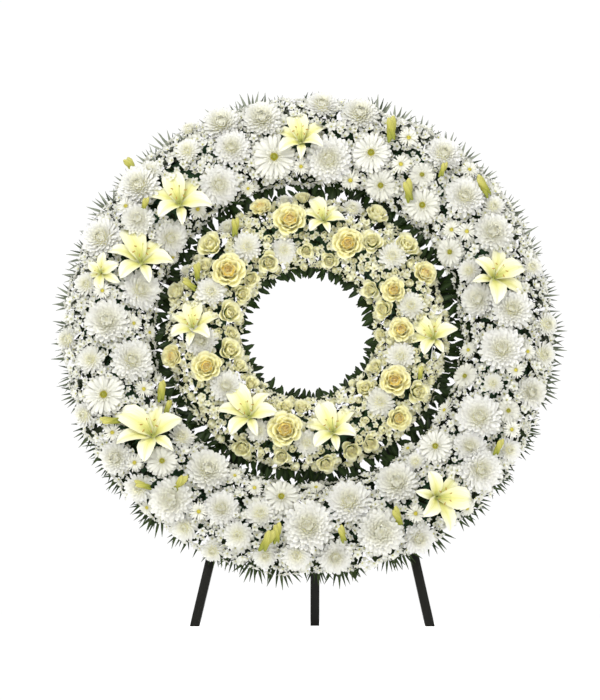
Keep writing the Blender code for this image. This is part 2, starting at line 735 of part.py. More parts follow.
def make_crossbars(home, slots, parent):
    """Two level tubes between the front legs, mitred to the legs' slope."""
    behind = -(2 * FIT + FLAT_BAR + TUBE / 2)
    for name, height in (("crossbar_upper", UPPER_BAR), ("crossbar_lower", LOWER_BAR)):
        points = []
        for foot_x, slope, sign in ((FOOT_LEFT, LEG_SLOPE_LEFT, 1),
                                    (FOOT_RIGHT, LEG_SLOPE_RIGHT, -1)):
            inset = (TUBE / 2) * math.hypot(1.0, slope) + FIT * 1.2
            for up, out in ((-1, -1), (1, -1), (1, 1), (-1, 1)):
                level = height + up * TUBE / 2
                points.append(Vector((leg_x(foot_x, slope, level) + sign * inset, level,
                                      behind + out * TUBE / 2)))
        add_object(name, mesh_from(name, points, lofted(2, 4)), home, slots["black_paint"], parent)


def make_spokes(home, slots, parent):
    """Flat bars behind the hoops that carry the outer one from the inner one."""
    start = INNER["radius"] - HOOP_WIDTH / 2
    end = OUTER["radius"] + HOOP_WIDTH / 2 - 0.006
    for name, degrees in (("spoke_right", 22.5), ("spoke_top", 90.0), ("spoke_left", 157.5)):
        made = bar(name, (end - start, 0.020, FLAT_BAR), home, slots["black_paint"], parent)
        angle = math.radians(degrees)
        reach = (start + end) / 2
        made.location = (reach * math.cos(angle), reach * math.sin(angle),
                         -(2 * FIT + FLAT_BAR * 1.5))
        made.rotation_euler.z = angle


def pin_place():
    """The hinge pin's middle."""
    middle, upslope, facing = plane_frame()
    back = 3 * FIT + FLAT_BAR + TUBE + PLATE + PIN_OFF_PLATE
    place = middle + upslope * UPPER_BAR - facing * back
    place.x += HINGE_X
    return place


def make_hinge(home, cutters, slots, parent):
    """A U-shaped bracket welded to the upper crossbar, and the pin through its ears."""
    ear_in = TUBE / 2 + 0.0006
    ear_out = ear_in + PLATE
    back = -(3 * FIT + FLAT_BAR + TUBE)
    depth = PLATE + PIN_OFF_PLATE + 0.010
    outline = [(-ear_out, 0.0), (ear_out, 0.0), (ear_out, -depth), (ear_in, -depth),
               (ear_in, -PLATE), (-ear_in, -PLATE), (-ear_in, -depth), (-ear_out, -depth)]
    half = 0.018
    points = [(HINGE_X + x, UPPER_BAR - half, back + z) for x, z in outline]
    points += [(HINGE_X + x, UPPER_BAR + half, back + z) for x, z in outline]
    bracket = add_object("hinge_bracket", mesh_from("hinge_bracket", points, lofted(2, 8)), home,
                         slots["black_paint"], parent)
    length = 2 * ear_out + 0.006
    drill = rod("hinge_drill", PIN_RADIUS + PIN_PLAY, length, cutters, None)
    drill.rotation_euler.y = math.pi / 2
    drill.location = pin_place()
    cut(bracket, drill)
    pin = rod("hinge_pin", PIN_RADIUS, length, home, slots["pin_steel"])
    pin.rotation_euler.y = math.pi / 2
    pin.location = pin_place()
    return drill


def make_rear_leg(home, slots, drill):
    """The prop behind: a tube on the pin, cut level at the floor."""
    pivot = bpy.data.objects.new("rear_leg_pivot", None)
    home.objects.link(pivot)
    pivot.location = pin_place()
    foot = pin_place() + Vector((0.0, REAR_FOOT_BEHIND, -pin_place().z))
    along = (foot - pin_place()).normalized()
    top = pin_place() - along * STUB
    side = Vector((1.0, 0.0, 0.0))
    leg = floor_cut_bar("rear_leg", top, foot, side, along.cross(side), home,
                        slots["black_paint"])
    for vert in leg.data.vertices:
        vert.co -= pivot.location
    leg.parent = pivot
    cut(leg, drill)


def build():
    """The whole wreath on its stand."""
    for item in list(bpy.data.objects):
        bpy.data.objects.remove(item)
    home = bpy.data.collections.new("funeral_wreath")
    cutters = bpy.data.collections.new("cutters")
    bpy.context.scene.collection.children.link(home)
    bpy.context.scene.collection.children.link(cutters)
    slots = make_materials()
    plane = bpy.data.objects.new("wreath_plane", None)
    home.objects.link(plane)
    plane.location = (0.0, DEPTH_SHIFT, CENTRE_HEIGHT)
    plane.rotation_euler.x = math.pi / 2 - LEAN
    make_front_legs(home, slots)
    make_crossbars(home, slots, plane)
    make_spokes(home, slots, plane)
    drill = make_hinge(home, cutters, slots, plane)
    make_rear_leg(home, slots, drill)
    make_base(OUTER, "outer", home, slots, plane)
    make_base(INNER, "inner", home, slots, plane)
    make_blooms(home, cutters, slots, plane)
    make_leaves(home, slots, plane)


build()
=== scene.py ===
import json
import math
import random

import bmesh
import bpy
from mathutils import Euler, Matrix, Vector

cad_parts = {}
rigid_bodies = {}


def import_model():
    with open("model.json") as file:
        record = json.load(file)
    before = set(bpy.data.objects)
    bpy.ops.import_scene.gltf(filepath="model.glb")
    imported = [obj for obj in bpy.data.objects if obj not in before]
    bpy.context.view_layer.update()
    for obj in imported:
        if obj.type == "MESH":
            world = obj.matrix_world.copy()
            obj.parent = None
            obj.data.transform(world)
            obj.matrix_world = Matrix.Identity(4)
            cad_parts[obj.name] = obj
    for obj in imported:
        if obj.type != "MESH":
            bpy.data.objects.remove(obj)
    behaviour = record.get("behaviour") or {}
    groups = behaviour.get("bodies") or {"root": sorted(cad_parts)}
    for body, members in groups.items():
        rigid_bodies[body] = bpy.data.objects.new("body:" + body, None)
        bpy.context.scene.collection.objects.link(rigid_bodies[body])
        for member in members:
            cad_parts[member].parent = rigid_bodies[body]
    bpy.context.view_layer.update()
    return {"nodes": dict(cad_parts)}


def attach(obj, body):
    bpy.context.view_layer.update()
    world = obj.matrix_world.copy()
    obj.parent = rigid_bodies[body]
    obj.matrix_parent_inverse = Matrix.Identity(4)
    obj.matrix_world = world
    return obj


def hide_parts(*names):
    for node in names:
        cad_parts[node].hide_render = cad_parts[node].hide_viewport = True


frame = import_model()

print("frame loaded")

# How the photograph sees the wreath: blooms are placed by their pixels in its 600 x 700 frame
photoView = {"metresPerPixel": 0.0022, "middle": (308.0, 336.0), "distance": 8.6, "pitch": 3.8}
wreathPlane = {"lean": 9.0, "height": 0.637, "depth": -0.0585}
outerRing = {"radius": 0.436, "halfWidth": 0.056, "domeHeight": 0.044, "reach": 0.096,
             "rise": 0.062, "footHeight": 0.018, "foamFoot": 0.0155}
innerRing = {"radius": 0.228, "halfWidth": 0.044, "domeHeight": 0.036, "reach": 0.076,
             "rise": 0.052, "footHeight": 0.018, "foamFoot": 0.0155}

lean = math.radians(wreathPlane["lean"])
toWorld = (Matrix.Translation((0.0, wreathPlane["depth"], wreathPlane["height"]))
           @ Matrix.Rotation(math.pi / 2 - lean, 4, "X"))
goldenTurn = math.pi * (3.0 - math.sqrt(5.0))
gradedValues = ["Radius", "Height", "Size", "Tilt"]
patternHome = bpy.data.collections.new("patterns")
bpy.context.scene.collection.children.link(patternHome)


# node helpers

def addNode(tree, kind, feeds=None, **settings):
    made = tree.nodes.new(kind)
    for name, value in settings.items():
        setattr(made, name, value)
    for key, value in (feeds or {}).items():
        if isinstance(value, bpy.types.NodeSocket):
            tree.links.new(value, made.inputs[key])
        else:
            made.inputs[key].default_value = value
    return made


def calculate(tree, operation, *values):
    return addNode(tree, "ShaderNodeMath", dict(enumerate(values)), operation=operation).outputs[0]


def times(tree, first, second):
    return calculate(tree, "MULTIPLY", first, second)


def plus(tree, first, second):
    return calculate(tree, "ADD", first, second)


def between(tree, share, low, high):
    return addNode(tree, "ShaderNodeMapRange",
                   {"Value": share, "To Min": low, "To Max": high}).outputs[0]


def stretch(tree, value, low, high):
    # low becomes 0 and high becomes 1
    return addNode(tree, "ShaderNodeMapRange",
                   {"Value": value, "From Min": low, "From Max": high}).outputs[0]


def vector(tree, x, y, z):
    return addNode(tree, "ShaderNodeCombineXYZ", {0: x, 1: y, 2: z}).outputs[0]


def newTree(name, sockets):
    tree = bpy.data.node_groups.new(name, "GeometryNodeTree")
    tree.interface.new_socket("Geometry", in_out="OUTPUT", socket_type="NodeSocketGeometry")
    tree.interface.new_socket("Geometry", in_out="INPUT", socket_type="NodeSocketGeometry")
    for label, kind in sockets:
        tree.interface.new_socket(label, in_out="INPUT", socket_type="NodeSocket" + kind)
    return tree, addNode(tree, "NodeGroupInput").outputs


def endTree(tree, geometry, finish):
    solid = addNode(tree, "GeometryNodeRealizeInstances", {"Geometry": geometry}).outputs[0]
    dressed = addNode(tree, "GeometryNodeSetMaterial", {"Geometry": solid, "Material": finish})
    addNode(tree, "NodeGroupOutput", {"Geometry": dressed.outputs[0]})


def store(tree, geometry, name, value):
    return addNode(tree, "GeometryNodeStoreNamedAttribute",
                   {"Geometry": geometry, "Name": name, "Value": value},
                   data_type="FLOAT", domain="POINT").outputs[0]


def shake(tree, size, seed):
    # three random numbers from minus size to size
    drawn = addNode(tree, "FunctionNodeRandomValue", {"Min": (-1.0, -1.0, -1.0), "Seed": seed},
                    data_type="FLOAT_VECTOR").outputs[0]
    sized = addNode(tree, "ShaderNodeVectorMath", {0: drawn, "Scale": size}, operation="SCALE")
    return addNode(tree, "ShaderNodeSeparateXYZ", {0: sized.outputs[0]}).outputs


def turnBy(tree, x, y, z):
    return addNode(tree, "FunctionNodeEulerToRotation", {0: vector(tree, x, y, z)}).outputs[0]


def pointsOnCircle(tree, count, radius, angle, height):
    place = vector(tree, times(tree, radius, calculate(tree, "COSINE", angle)),
                   times(tree, radius, calculate(tree, "SINE", angle)), height)
    return addNode(tree, "GeometryNodePoints", {"Count": count, "Position": place}).outputs[0]


def addCopies(tree, given, points, thing, turn, size):
    # puts a copy of the thing on each point, beside the geometry that came in
    shape = addNode(tree, "GeometryNodeObjectInfo", {"Object": thing, "As Instance": True})
    copies = addNode(tree, "GeometryNodeInstanceOnPoints", {
        "Points": points, "Instance": shape.outputs["Geometry"], "Rotation": turn, "Scale": size})
    joined = addNode(tree, "GeometryNodeJoinGeometry", {0: given["Geometry"]})
    tree.links.new(copies.outputs[0], joined.inputs[0])
    endTree(tree, joined.outputs[0], given["Finish"])


# a layer of petals, stamens or florets, laid out in a spiral from the middle of a head to its edge
def makeSpiralLayer():
    tree, given = newTree("spiralLayer", [
        ("Petal", "Object"), ("Count", "Int"), ("Turn", "Float"), ("Phase", "Float"),
        *[(f"{end} {label}", "Float") for label in gradedValues for end in ("Inner", "Outer")],
        ("Jitter", "Float"), ("Kind", "Float"), ("Seed", "Int"), ("Finish", "Material")])
    index = addNode(tree, "GeometryNodeInputIndex").outputs[0]
    steps = calculate(tree, "MAXIMUM", calculate(tree, "SUBTRACT", given["Count"], 1.0), 1.0)
    share = calculate(tree, "DIVIDE", index, steps)
    jolt = shake(tree, given["Jitter"], given["Seed"])

    def graded(label, along=share):
        return between(tree, along, given["Inner " + label], given["Outer " + label])

    radius = graded("Radius", calculate(tree, "SQRT", share))
    angle = plus(tree, times(tree, index, given["Turn"]), given["Phase"])
    points = pointsOnCircle(tree, given["Count"], radius, angle, graded("Height"))
    # how far out on the head a petal stands: about 0 in the heart and 1 at the rim
    points = store(tree, points, "ring", calculate(tree, "DIVIDE", radius, 0.42))
    points = store(tree, points, "kind", given["Kind"])
    tilt = plus(tree, graded("Tilt"), jolt[0])
    turn = turnBy(tree, times(tree, jolt[2], 1.4), times(tree, tilt, -1.0),
                  plus(tree, angle, jolt[1]))
    size = times(tree, graded("Size"), plus(tree, times(tree, jolt[2], 0.7), 1.0))
    addCopies(tree, given, points, given["Petal"], turn, size)
    return tree


# a row of leaves along an arc, growing outwards or, with a heading of half a turn, inwards
def makeLeafRow():
    tree, given = newTree("leafRow", [
        ("Leaf", "Object"), ("Count", "Int"), ("Start", "Float"), ("End", "Float"),
        *[(label + end, "Float") for label in gradedValues for end in ("", " Spread")],
        ("Heading", "Float"), ("Swing", "Float"), ("Seed", "Int"), ("Finish", "Material")])
    index = addNode(tree, "GeometryNodeInputIndex").outputs[0]
    first = shake(tree, 1.0, given["Seed"])
    second = shake(tree, 1.0, plus(tree, given["Seed"], 50.0))

    def varied(draw, label):
        return calculate(tree, "MULTIPLY_ADD", draw, given[label + " Spread"], given[label])

    stepped = plus(tree, index, calculate(tree, "MULTIPLY_ADD", first[0], 0.4, 0.5))
    angle = between(tree, calculate(tree, "DIVIDE", stepped, given["Count"]), given["Start"],
                    given["End"])
    points = pointsOnCircle(tree, given["Count"], varied(first[1], "Radius"), angle,
                            varied(first[2], "Height"))
    points = store(tree, points, "tint", calculate(tree, "MULTIPLY_ADD", second[0], 0.5, 0.5))
    heading = plus(tree, angle, given["Heading"])
    turn = turnBy(tree, times(tree, second[1], 0.5), times(tree, varied(second[2], "Tilt"), -1.0),
                  calculate(tree, "MULTIPLY_ADD", second[0], given["Swing"], heading))
    addCopies(tree, given, points, given["Leaf"], turn, varied(first[2], "Size"))
    return tree


# heads stood on points that carry their own turn, size, tone and choice of head
def makeStandHeads():
    tree, given = newTree("standHeads", [("Heads", "Collection"), ("Finish", "Material")])
    heads = addNode(tree, "GeometryNodeCollectionInfo", {
        "Collection": given["Heads"], "Separate Children": True, "Reset Children": True})

    def named(label, kind):
        return addNode(tree, "GeometryNodeInputNamedAttribute", {"Name": label},
                       data_type=kind).outputs[0]

    turn = addNode(tree, "FunctionNodeEulerToRotation", {0: named("turn", "FLOAT_VECTOR")})
    placed = addNode(tree, "GeometryNodeInstanceOnPoints", {
        "Points": given["Geometry"], "Instance": heads.outputs[0], "Pick Instance": True,
        "Instance Index": named("pick", "INT"), "Rotation": turn.outputs[0],
        "Scale": named("size", "FLOAT")})
    endTree(tree, placed.outputs[0], given["Finish"])
    return tree


# round stems along the edges of a line mesh
def makeStemTubes():
    tree, given = newTree("stemTubes", [("Radius", "Float"), ("Sides", "Int"),
                                        ("Finish", "Material")])
    line = addNode(tree, "GeometryNodeMeshToCurve", {"Mesh": given["Geometry"]}).outputs[0]
    circle = addNode(tree, "GeometryNodeCurvePrimitiveCircle",
                     {"Resolution": given["Sides"], "Radius": given["Radius"]}).outputs[0]
    tube = addNode(tree, "GeometryNodeCurveToMesh",
                   {"Curve": line, "Profile Curve": circle, "Fill Caps": True})
    endTree(tree, tube.outputs[0], given["Finish"])
    return tree


spiralLayer = makeSpiralLayer()
leafRow = makeLeafRow()
standHeads = makeStandHeads()
stemTubes = makeStemTubes()
print("node trees built")


def addStep(thing, tree, values):
    step = thing.modifiers.new(tree.name, "NODES")
    step.node_group = tree
    sockets = {item.name: item.identifier for item in tree.interface.items_tree
               if item.item_type == "SOCKET" and item.in_out == "INPUT"}
    for name, value in values.items():
        step[sockets[name]] = value


def plainMesh(thing):
    bpy.context.view_layer.update()
    graph = bpy.context.evaluated_depsgraph_get()
    mesh = bpy.data.meshes.new_from_object(thing.evaluated_get(graph))
    thing.modifiers.clear()
    return mesh


def finishPiece(name, mesh, nodes=(), body="root", turned=True):
    if turned:
        mesh.transform(toWorld)
    mesh.name = name
    piece = bpy.data.objects.new(name, mesh)
    bpy.context.scene.collection.objects.link(piece)
    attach(piece, body)
    if nodes:
        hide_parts(*nodes)
    print(name, sum(len(face.vertices) - 2 for face in mesh.polygons))


def meshFrom(name, points, edges=(), faces=()):
    mesh = bpy.data.meshes.new(name)
    mesh.from_pydata(points, edges, faces)
    return mesh


def putValues(mesh, label, kind, values):
    field = "vector" if kind == "FLOAT_VECTOR" else "value"
    mesh.attributes.new(label, kind, "POINT").data.foreach_set(field, values)


def turnOutwards(mesh):
    form = bmesh.new()
    form.from_mesh(mesh)
    bmesh.ops.recalc_face_normals(form, faces=form.faces)
    form.to_mesh(mesh)
    form.free()


def smoothUnder(mesh, degrees):
    # smooth shading, with edges sharper than this left sharp
    mesh.shade_smooth()
    mesh.set_sharp_from_angle(angle=math.radians(degrees))


def aroundMiddle(radius, angle, height):
    return Vector((radius * math.cos(angle), radius * math.sin(angle), height))


def nodesOf(prefix, count):
    return [f"{prefix}_{number}" for number in range(1, count + 1)]


# finishes

def attribute(tree, name):
    return addNode(tree, "ShaderNodeAttribute", attribute_name=name).outputs["Fac"]


def mixColour(tree, share, first, second, blend="MIX"):
    made = tree.nodes.new("ShaderNodeMix")
    made.data_type = "RGBA"
    made.blend_type = blend
    for key, value in ((0, share), (6, first), (7, second)):
        if isinstance(value, bpy.types.NodeSocket):
            tree.links.new(value, made.inputs[key])
        else:
            made.inputs[key].default_value = value if key == 0 else (*value, 1.0)
    return made.outputs[2]


def ramp(tree, share, stops):
    made = addNode(tree, "ShaderNodeValToRGB", {0: share})
    band = made.color_ramp
    while len(band.elements) < len(stops):
        band.elements.new(0.5)
    for element, (place, colour) in zip(band.elements, stops):
        element.position = place
        element.color = (*colour, 1.0)
    return made.outputs[0]


def shaderGroup(name, inputs, outputs):
    tree = bpy.data.node_groups.new(name, "ShaderNodeTree")
    for label, value in inputs:
        socket = tree.interface.new_socket(label, in_out="INPUT", socket_type="NodeSocketFloat")
        socket.default_value = value
    for label in outputs:
        tree.interface.new_socket(label, in_out="OUTPUT", socket_type="NodeSocketFloat")
    return tree, addNode(tree, "NodeGroupInput").outputs


def objectPlace(tree):
    return addNode(tree, "ShaderNodeTexCoord").outputs["Object"]


def noise(tree, place, scale, detail, roughness=0.5):
    return addNode(tree, "ShaderNodeTexNoise", {"Vector": place, "Scale": scale, "Detail": detail,
                                                "Roughness": roughness}).outputs[0]


def makePetalVeins():
    # long ribs that run with the petal, broken by a little noise
    tree, given = shaderGroup("petalVeins", [("Ribs", 5.0), ("Roughness", 0.5)],
                              ["Mask", "Height"])
    drift = vector(tree, times(tree, attribute(tree, "across"), given["Ribs"]),
                   times(tree, attribute(tree, "along"), 1.6), attribute(tree, "ring"))
    ribs = noise(tree, drift, 1.7, 3.0, given["Roughness"])
    grain = noise(tree, objectPlace(tree), 900.0, 2.0)
    height = calculate(tree, "MULTIPLY_ADD", grain, 0.25, ribs)
    addNode(tree, "NodeGroupOutput", {"Mask": stretch(tree, ribs, 0.35, 0.68), "Height": height})
    return tree


def makeSpeckle():
    # broad blotches and fine dust, by place on the object
    tree, given = shaderGroup("speckle", [("Broad", 12.0), ("Fine", 350.0)], ["Blotch", "Dust"])
    broad = noise(tree, objectPlace(tree), given["Broad"], 4.0)
    fine = noise(tree, objectPlace(tree), given["Fine"], 3.0, 0.6)
    addNode(tree, "NodeGroupOutput", {"Blotch": broad, "Dust": stretch(tree, fine, 0.45, 0.72)})
    return tree


petalVeins = makePetalVeins()
speckle = makeSpeckle()


def useGroup(tree, group, **values):
    made = addNode(tree, "ShaderNodeGroup", node_tree=group)
    for name, value in values.items():
        made.inputs[name.capitalize()].default_value = value
    return made.outputs


def newFinish(name, roughness, metallic=0.0):
    made = bpy.data.materials.new(name)
    made.use_nodes = True
    shader = made.node_tree.nodes["Principled BSDF"]
    shader.inputs["Roughness"].default_value = roughness
    shader.inputs["Metallic"].default_value = metallic
    return made, made.node_tree, shader


def bumpFrom(tree, shader, height, strength, distance):
    bump = addNode(tree, "ShaderNodeBump", {"Strength": strength, "Distance": distance,
                                            "Height": height})
    tree.links.new(bump.outputs[0], shader.inputs["Normal"])


def besideMiddle(tree):
    return calculate(tree, "ABSOLUTE", attribute(tree, "across"))


def onMiddle(tree, sharpness):
    # 1 on the middle of a petal or leaf, falling to 0 beside it
    beside = calculate(tree, "MINIMUM", times(tree, besideMiddle(tree), sharpness), 1.0)
    return calculate(tree, "SUBTRACT", 1.0, beside)


def petalFinish(name, look):
    made, tree, shader = newFinish(name, look["roughness"])
    veins = useGroup(tree, petalVeins, ribs=look["ribs"])
    ring = attribute(tree, "ring")
    colour = ramp(tree, attribute(tree, "along"), look["alongPetal"])
    colour = mixColour(tree, look["heartShare"], colour, ramp(tree, ring, look["heartStops"]),
                       "MULTIPLY")
    # petals are painted paler towards their side edges: a painted highlight where the edges catch
    # the light
    rim = calculate(tree, "POWER", besideMiddle(tree), 1.6)
    for label, mask, blend in (("vein", veins["Mask"], "MIX"), ("rib", onMiddle(tree, 3.0), "MIX"),
                               ("rim", rim, "MIX"), ("tone", attribute(tree, "tone"), "MULTIPLY")):
        colour = mixColour(tree, times(tree, mask, look[label + "Share"]), colour,
                           look[label + "Colour"], blend)
    # kinds of petal: 0 petals, 1 florets of the disc, 2 anthers, 3 green parts
    kind = attribute(tree, "kind")
    for number, paint in ((1, ramp(tree, ring, look["discStops"])), (2, look["antherColour"]),
                          (3, look["greenColour"])):
        colour = mixColour(tree, calculate(tree, "COMPARE", kind, float(number), 0.3), colour,
                           paint)
    tree.links.new(colour, shader.inputs["Base Color"])
    tree.links.new(between(tree, veins["Mask"], look["roughness"] - 0.06,
                           look["roughness"] + 0.08), shader.inputs["Roughness"])
    bumpFrom(tree, shader, veins["Height"], look["veinDepth"], look["veinHeight"])
    shader.inputs["Subsurface Weight"].default_value = look["glow"]
    shader.inputs["Subsurface Radius"].default_value = (1.0, 0.95, 0.75)
    shader.inputs["Subsurface Scale"].default_value = 0.006
    shader.inputs["Specular IOR Level"].default_value = 0.35
    return made


plainPetal = {
    "roughness": 0.55, "ribs": 4.0, "glow": 0.45, "veinDepth": 0.4, "veinHeight": 0.0006,
    "alongPetal": [(0.0, (0.84, 0.835, 0.68)), (0.35, (0.88, 0.875, 0.82)),
                   (1.0, (0.89, 0.885, 0.85))],
    "heartStops": [(0.0, (1.0, 0.965, 0.54)), (0.40, (1.0, 0.985, 0.78)), (0.75, (1.0, 1.0, 1.0))],
    "discStops": [(0.0, (0.66, 0.64, 0.14)), (1.0, (0.50, 0.47, 0.06))],
    "heartShare": 0.8, "veinShare": 0.3, "veinColour": (0.66, 0.66, 0.60), "ribShare": 0.0,
    "ribColour": (0.62, 0.61, 0.20), "rimShare": 0.0, "rimColour": (0.90, 0.90, 0.86),
    "toneShare": 0.7, "toneColour": (0.95, 0.95, 0.91), "antherColour": (0.42, 0.16, 0.03),
    "greenColour": (0.10, 0.17, 0.03)}
# the rim colours in these looks are painted highlight along each petal's edges
petalLooks = {
    "mumPetal": {},
    "gerberaPetal": {
        "alongPetal": [(0.0, (0.68, 0.66, 0.34)), (0.25, (0.78, 0.775, 0.70)),
            (1.0, (0.83, 0.825, 0.80))],
        "discStops": [(0.0, (0.30, 0.30, 0.02)), (0.10, (0.54, 0.54, 0.16)),
            (0.20, (0.19, 0.20, 0.01)), (0.42, (0.72, 0.61, 0.03))],
        "heartShare": 0.4, "ribs": 6.0, "veinShare": 0.45},
    "daisyPetal": {
        "discStops": [(0.0, (0.66, 0.58, 0.08)), (0.5, (0.52, 0.46, 0.05))],
        "heartShare": 0.4},
    "waxPetal": {
        "alongPetal": [(0.0, (0.70, 0.71, 0.48)), (0.3, (0.84, 0.84, 0.80)),
            (1.0, (0.87, 0.87, 0.85))],
        "discStops": [(0.0, (0.56, 0.54, 0.12)), (1.0, (0.56, 0.54, 0.12))],
        "veinShare": 0.1, "heartShare": 0.2},
    # the inner ring's wax flowers: a cream tint, made paler than the outer ones as painted light
    # against the shade that falls in the inner ring
    "creamWaxPaintedLight": {
        "alongPetal": [(0.0, (0.88, 0.86, 0.50)), (0.4, (0.95, 0.935, 0.72)),
            (1.0, (0.96, 0.95, 0.80))],
        "discStops": [(0.0, (0.62, 0.56, 0.10)), (1.0, (0.62, 0.56, 0.10))],
        "glow": 0.6, "veinShare": 0.1, "heartShare": 0.3},
    "rosePetal": {
        "alongPetal": [(0.0, (0.96, 0.80, 0.23)), (0.35, (0.97, 0.86, 0.31)),
            (0.80, (0.97, 0.90, 0.40)), (1.0, (0.97, 0.93, 0.53))],
        "heartStops": [(0.0, (1.0, 0.74, 0.28)), (0.34, (1.0, 0.88, 0.54)),
            (0.66, (1.0, 1.0, 1.0))],
        "heartShare": 1.0, "toneColour": (0.98, 1.0, 1.0), "veinColour": (0.92, 0.82, 0.42),
        "veinShare": 0.12, "glow": 0.6, "rimShare": 0.5, "rimColour": (0.95, 0.935, 0.66),
        "veinDepth": 0.25},
    "budPetal": {
        "alongPetal": [(0.0, (0.93, 0.89, 0.38)), (0.35, (0.96, 0.91, 0.42)),
            (0.8, (0.97, 0.93, 0.50)), (1.0, (0.97, 0.95, 0.62))],
        "heartStops": [(0.0, (1.0, 0.93, 0.62)), (0.5, (1.0, 1.0, 1.0))],
        "heartShare": 0.9, "toneColour": (1.0, 0.99, 0.86), "veinColour": (0.90, 0.88, 0.46),
        "veinShare": 0.12, "glow": 0.7, "rimShare": 0.4, "rimColour": (0.97, 0.955, 0.70),
        "veinDepth": 0.25},
    "lilyPetal": {
        "alongPetal": [(0.0, (0.36, 0.40, 0.05)), (0.22, (0.60, 0.58, 0.12)),
            (0.40, (0.80, 0.765, 0.31)), (0.60, (0.86, 0.845, 0.54)), (0.80, (0.885, 0.88, 0.74)),
            (1.0, (0.90, 0.895, 0.85))],
        "heartShare": 0.0, "rimShare": 0.5, "rimColour": (0.90, 0.89, 0.78),
        "veinColour": (0.62, 0.61, 0.20), "veinShare": 0.5, "ribs": 6.0, "glow": 0.20,
        "ribShare": 0.55, "veinDepth": 0.9, "veinHeight": 0.0014,
        "greenColour": (0.56, 0.60, 0.18), "antherColour": (0.46, 0.30, 0.06)},
    "lilyBud": {
        "alongPetal": [(0.0, (0.18, 0.21, 0.02)), (0.5, (0.38, 0.36, 0.06)),
            (1.0, (0.62, 0.57, 0.20))],
        "heartShare": 0.0, "veinColour": (0.22, 0.25, 0.02), "veinShare": 0.6}}
finishes = {name: petalFinish(name, {**plainPetal, **look})
            for name, look in petalLooks.items()}


def leafFinish(name, deep, bright, rib, silverAndHighlight):
    made, tree, shader = newFinish(name, 0.38)
    veins = useGroup(tree, petalVeins, ribs=3.0)
    tint = attribute(tree, "tint")
    blotch = useGroup(tree, speckle, broad=18.0)["Blotch"]
    # leaves high on the wreath are paler and more silvery: partly the light grey of some blades,
    # partly a painted highlight where the light from above falls on the top
    height = addNode(tree, "ShaderNodeSeparateXYZ", {0: objectPlace(tree)}).outputs[2]
    high = stretch(tree, height, 0.35, 0.95)
    colour = mixColour(tree, tint, deep, bright)
    colour = mixColour(tree, times(tree, high, tint), colour, silverAndHighlight)
    colour = mixColour(tree, times(tree, blotch, 0.5), colour, deep)
    colour = mixColour(tree, times(tree, onMiddle(tree, 4.0), 0.6), colour, rib)
    tree.links.new(colour, shader.inputs["Base Color"])
    tree.links.new(between(tree, veins["Mask"], 0.30, 0.48), shader.inputs["Roughness"])
    bumpFrom(tree, shader, veins["Height"], 0.3, 0.0006)
    shader.inputs["Specular IOR Level"].default_value = 0.10
    return made


# the last colour of each is the pale silvery grey of the upper leaves, partly their own colour and
# partly painted highlight
finishes["darkLeaf"] = leafFinish("darkLeaf", (0.004, 0.009, 0.001), (0.018, 0.038, 0.006),
                                  (0.036, 0.062, 0.014), (0.020, 0.040, 0.008))
finishes["fringeLeaf"] = leafFinish("fringeLeaf", (0.010, 0.024, 0.005), (0.060, 0.085, 0.030),
                                    (0.090, 0.120, 0.055), (0.48, 0.50, 0.42))


def plainFinish(name, colour, worn, roughness, metallic=0.0, bump=0.25):
    made, tree, shader = newFinish(name, roughness, metallic)
    marks = useGroup(tree, speckle, broad=14.0, fine=420.0)
    shade = mixColour(tree, times(tree, marks["Blotch"], 0.5), colour, worn)
    shade = mixColour(tree, times(tree, marks["Dust"], 0.25), shade, worn)
    tree.links.new(shade, shader.inputs["Base Color"])
    shader.inputs["Specular IOR Level"].default_value = 0.15
    tree.links.new(between(tree, marks["Dust"], roughness - 0.06, roughness + 0.14),
                   shader.inputs["Roughness"])
    bumpFrom(tree, shader, marks["Dust"], bump, 0.0004)
    return made


for name, *look in (
        ("blackPaint", (0.004, 0.004, 0.003), (0.014, 0.0135, 0.010), 0.42),
        ("pinSteel", (0.50, 0.50, 0.50), (0.36, 0.35, 0.33), 0.34, 1.0),
        ("trayPlastic", (0.020, 0.060, 0.030), (0.035, 0.080, 0.045), 0.48),
        ("wetFoam", (0.022, 0.060, 0.028), (0.050, 0.095, 0.045), 0.90, 0.0, 1.0),
        ("tieNylon", (0.010, 0.010, 0.010), (0.020, 0.020, 0.020), 0.36),
        ("stemGreen", (0.050, 0.090, 0.020), (0.090, 0.130, 0.040), 0.50)):
    finishes[name] = plainFinish(name, *look)
print("finishes made")


# petals and leaves: a closed thin sheet, one metre long, along X from its base

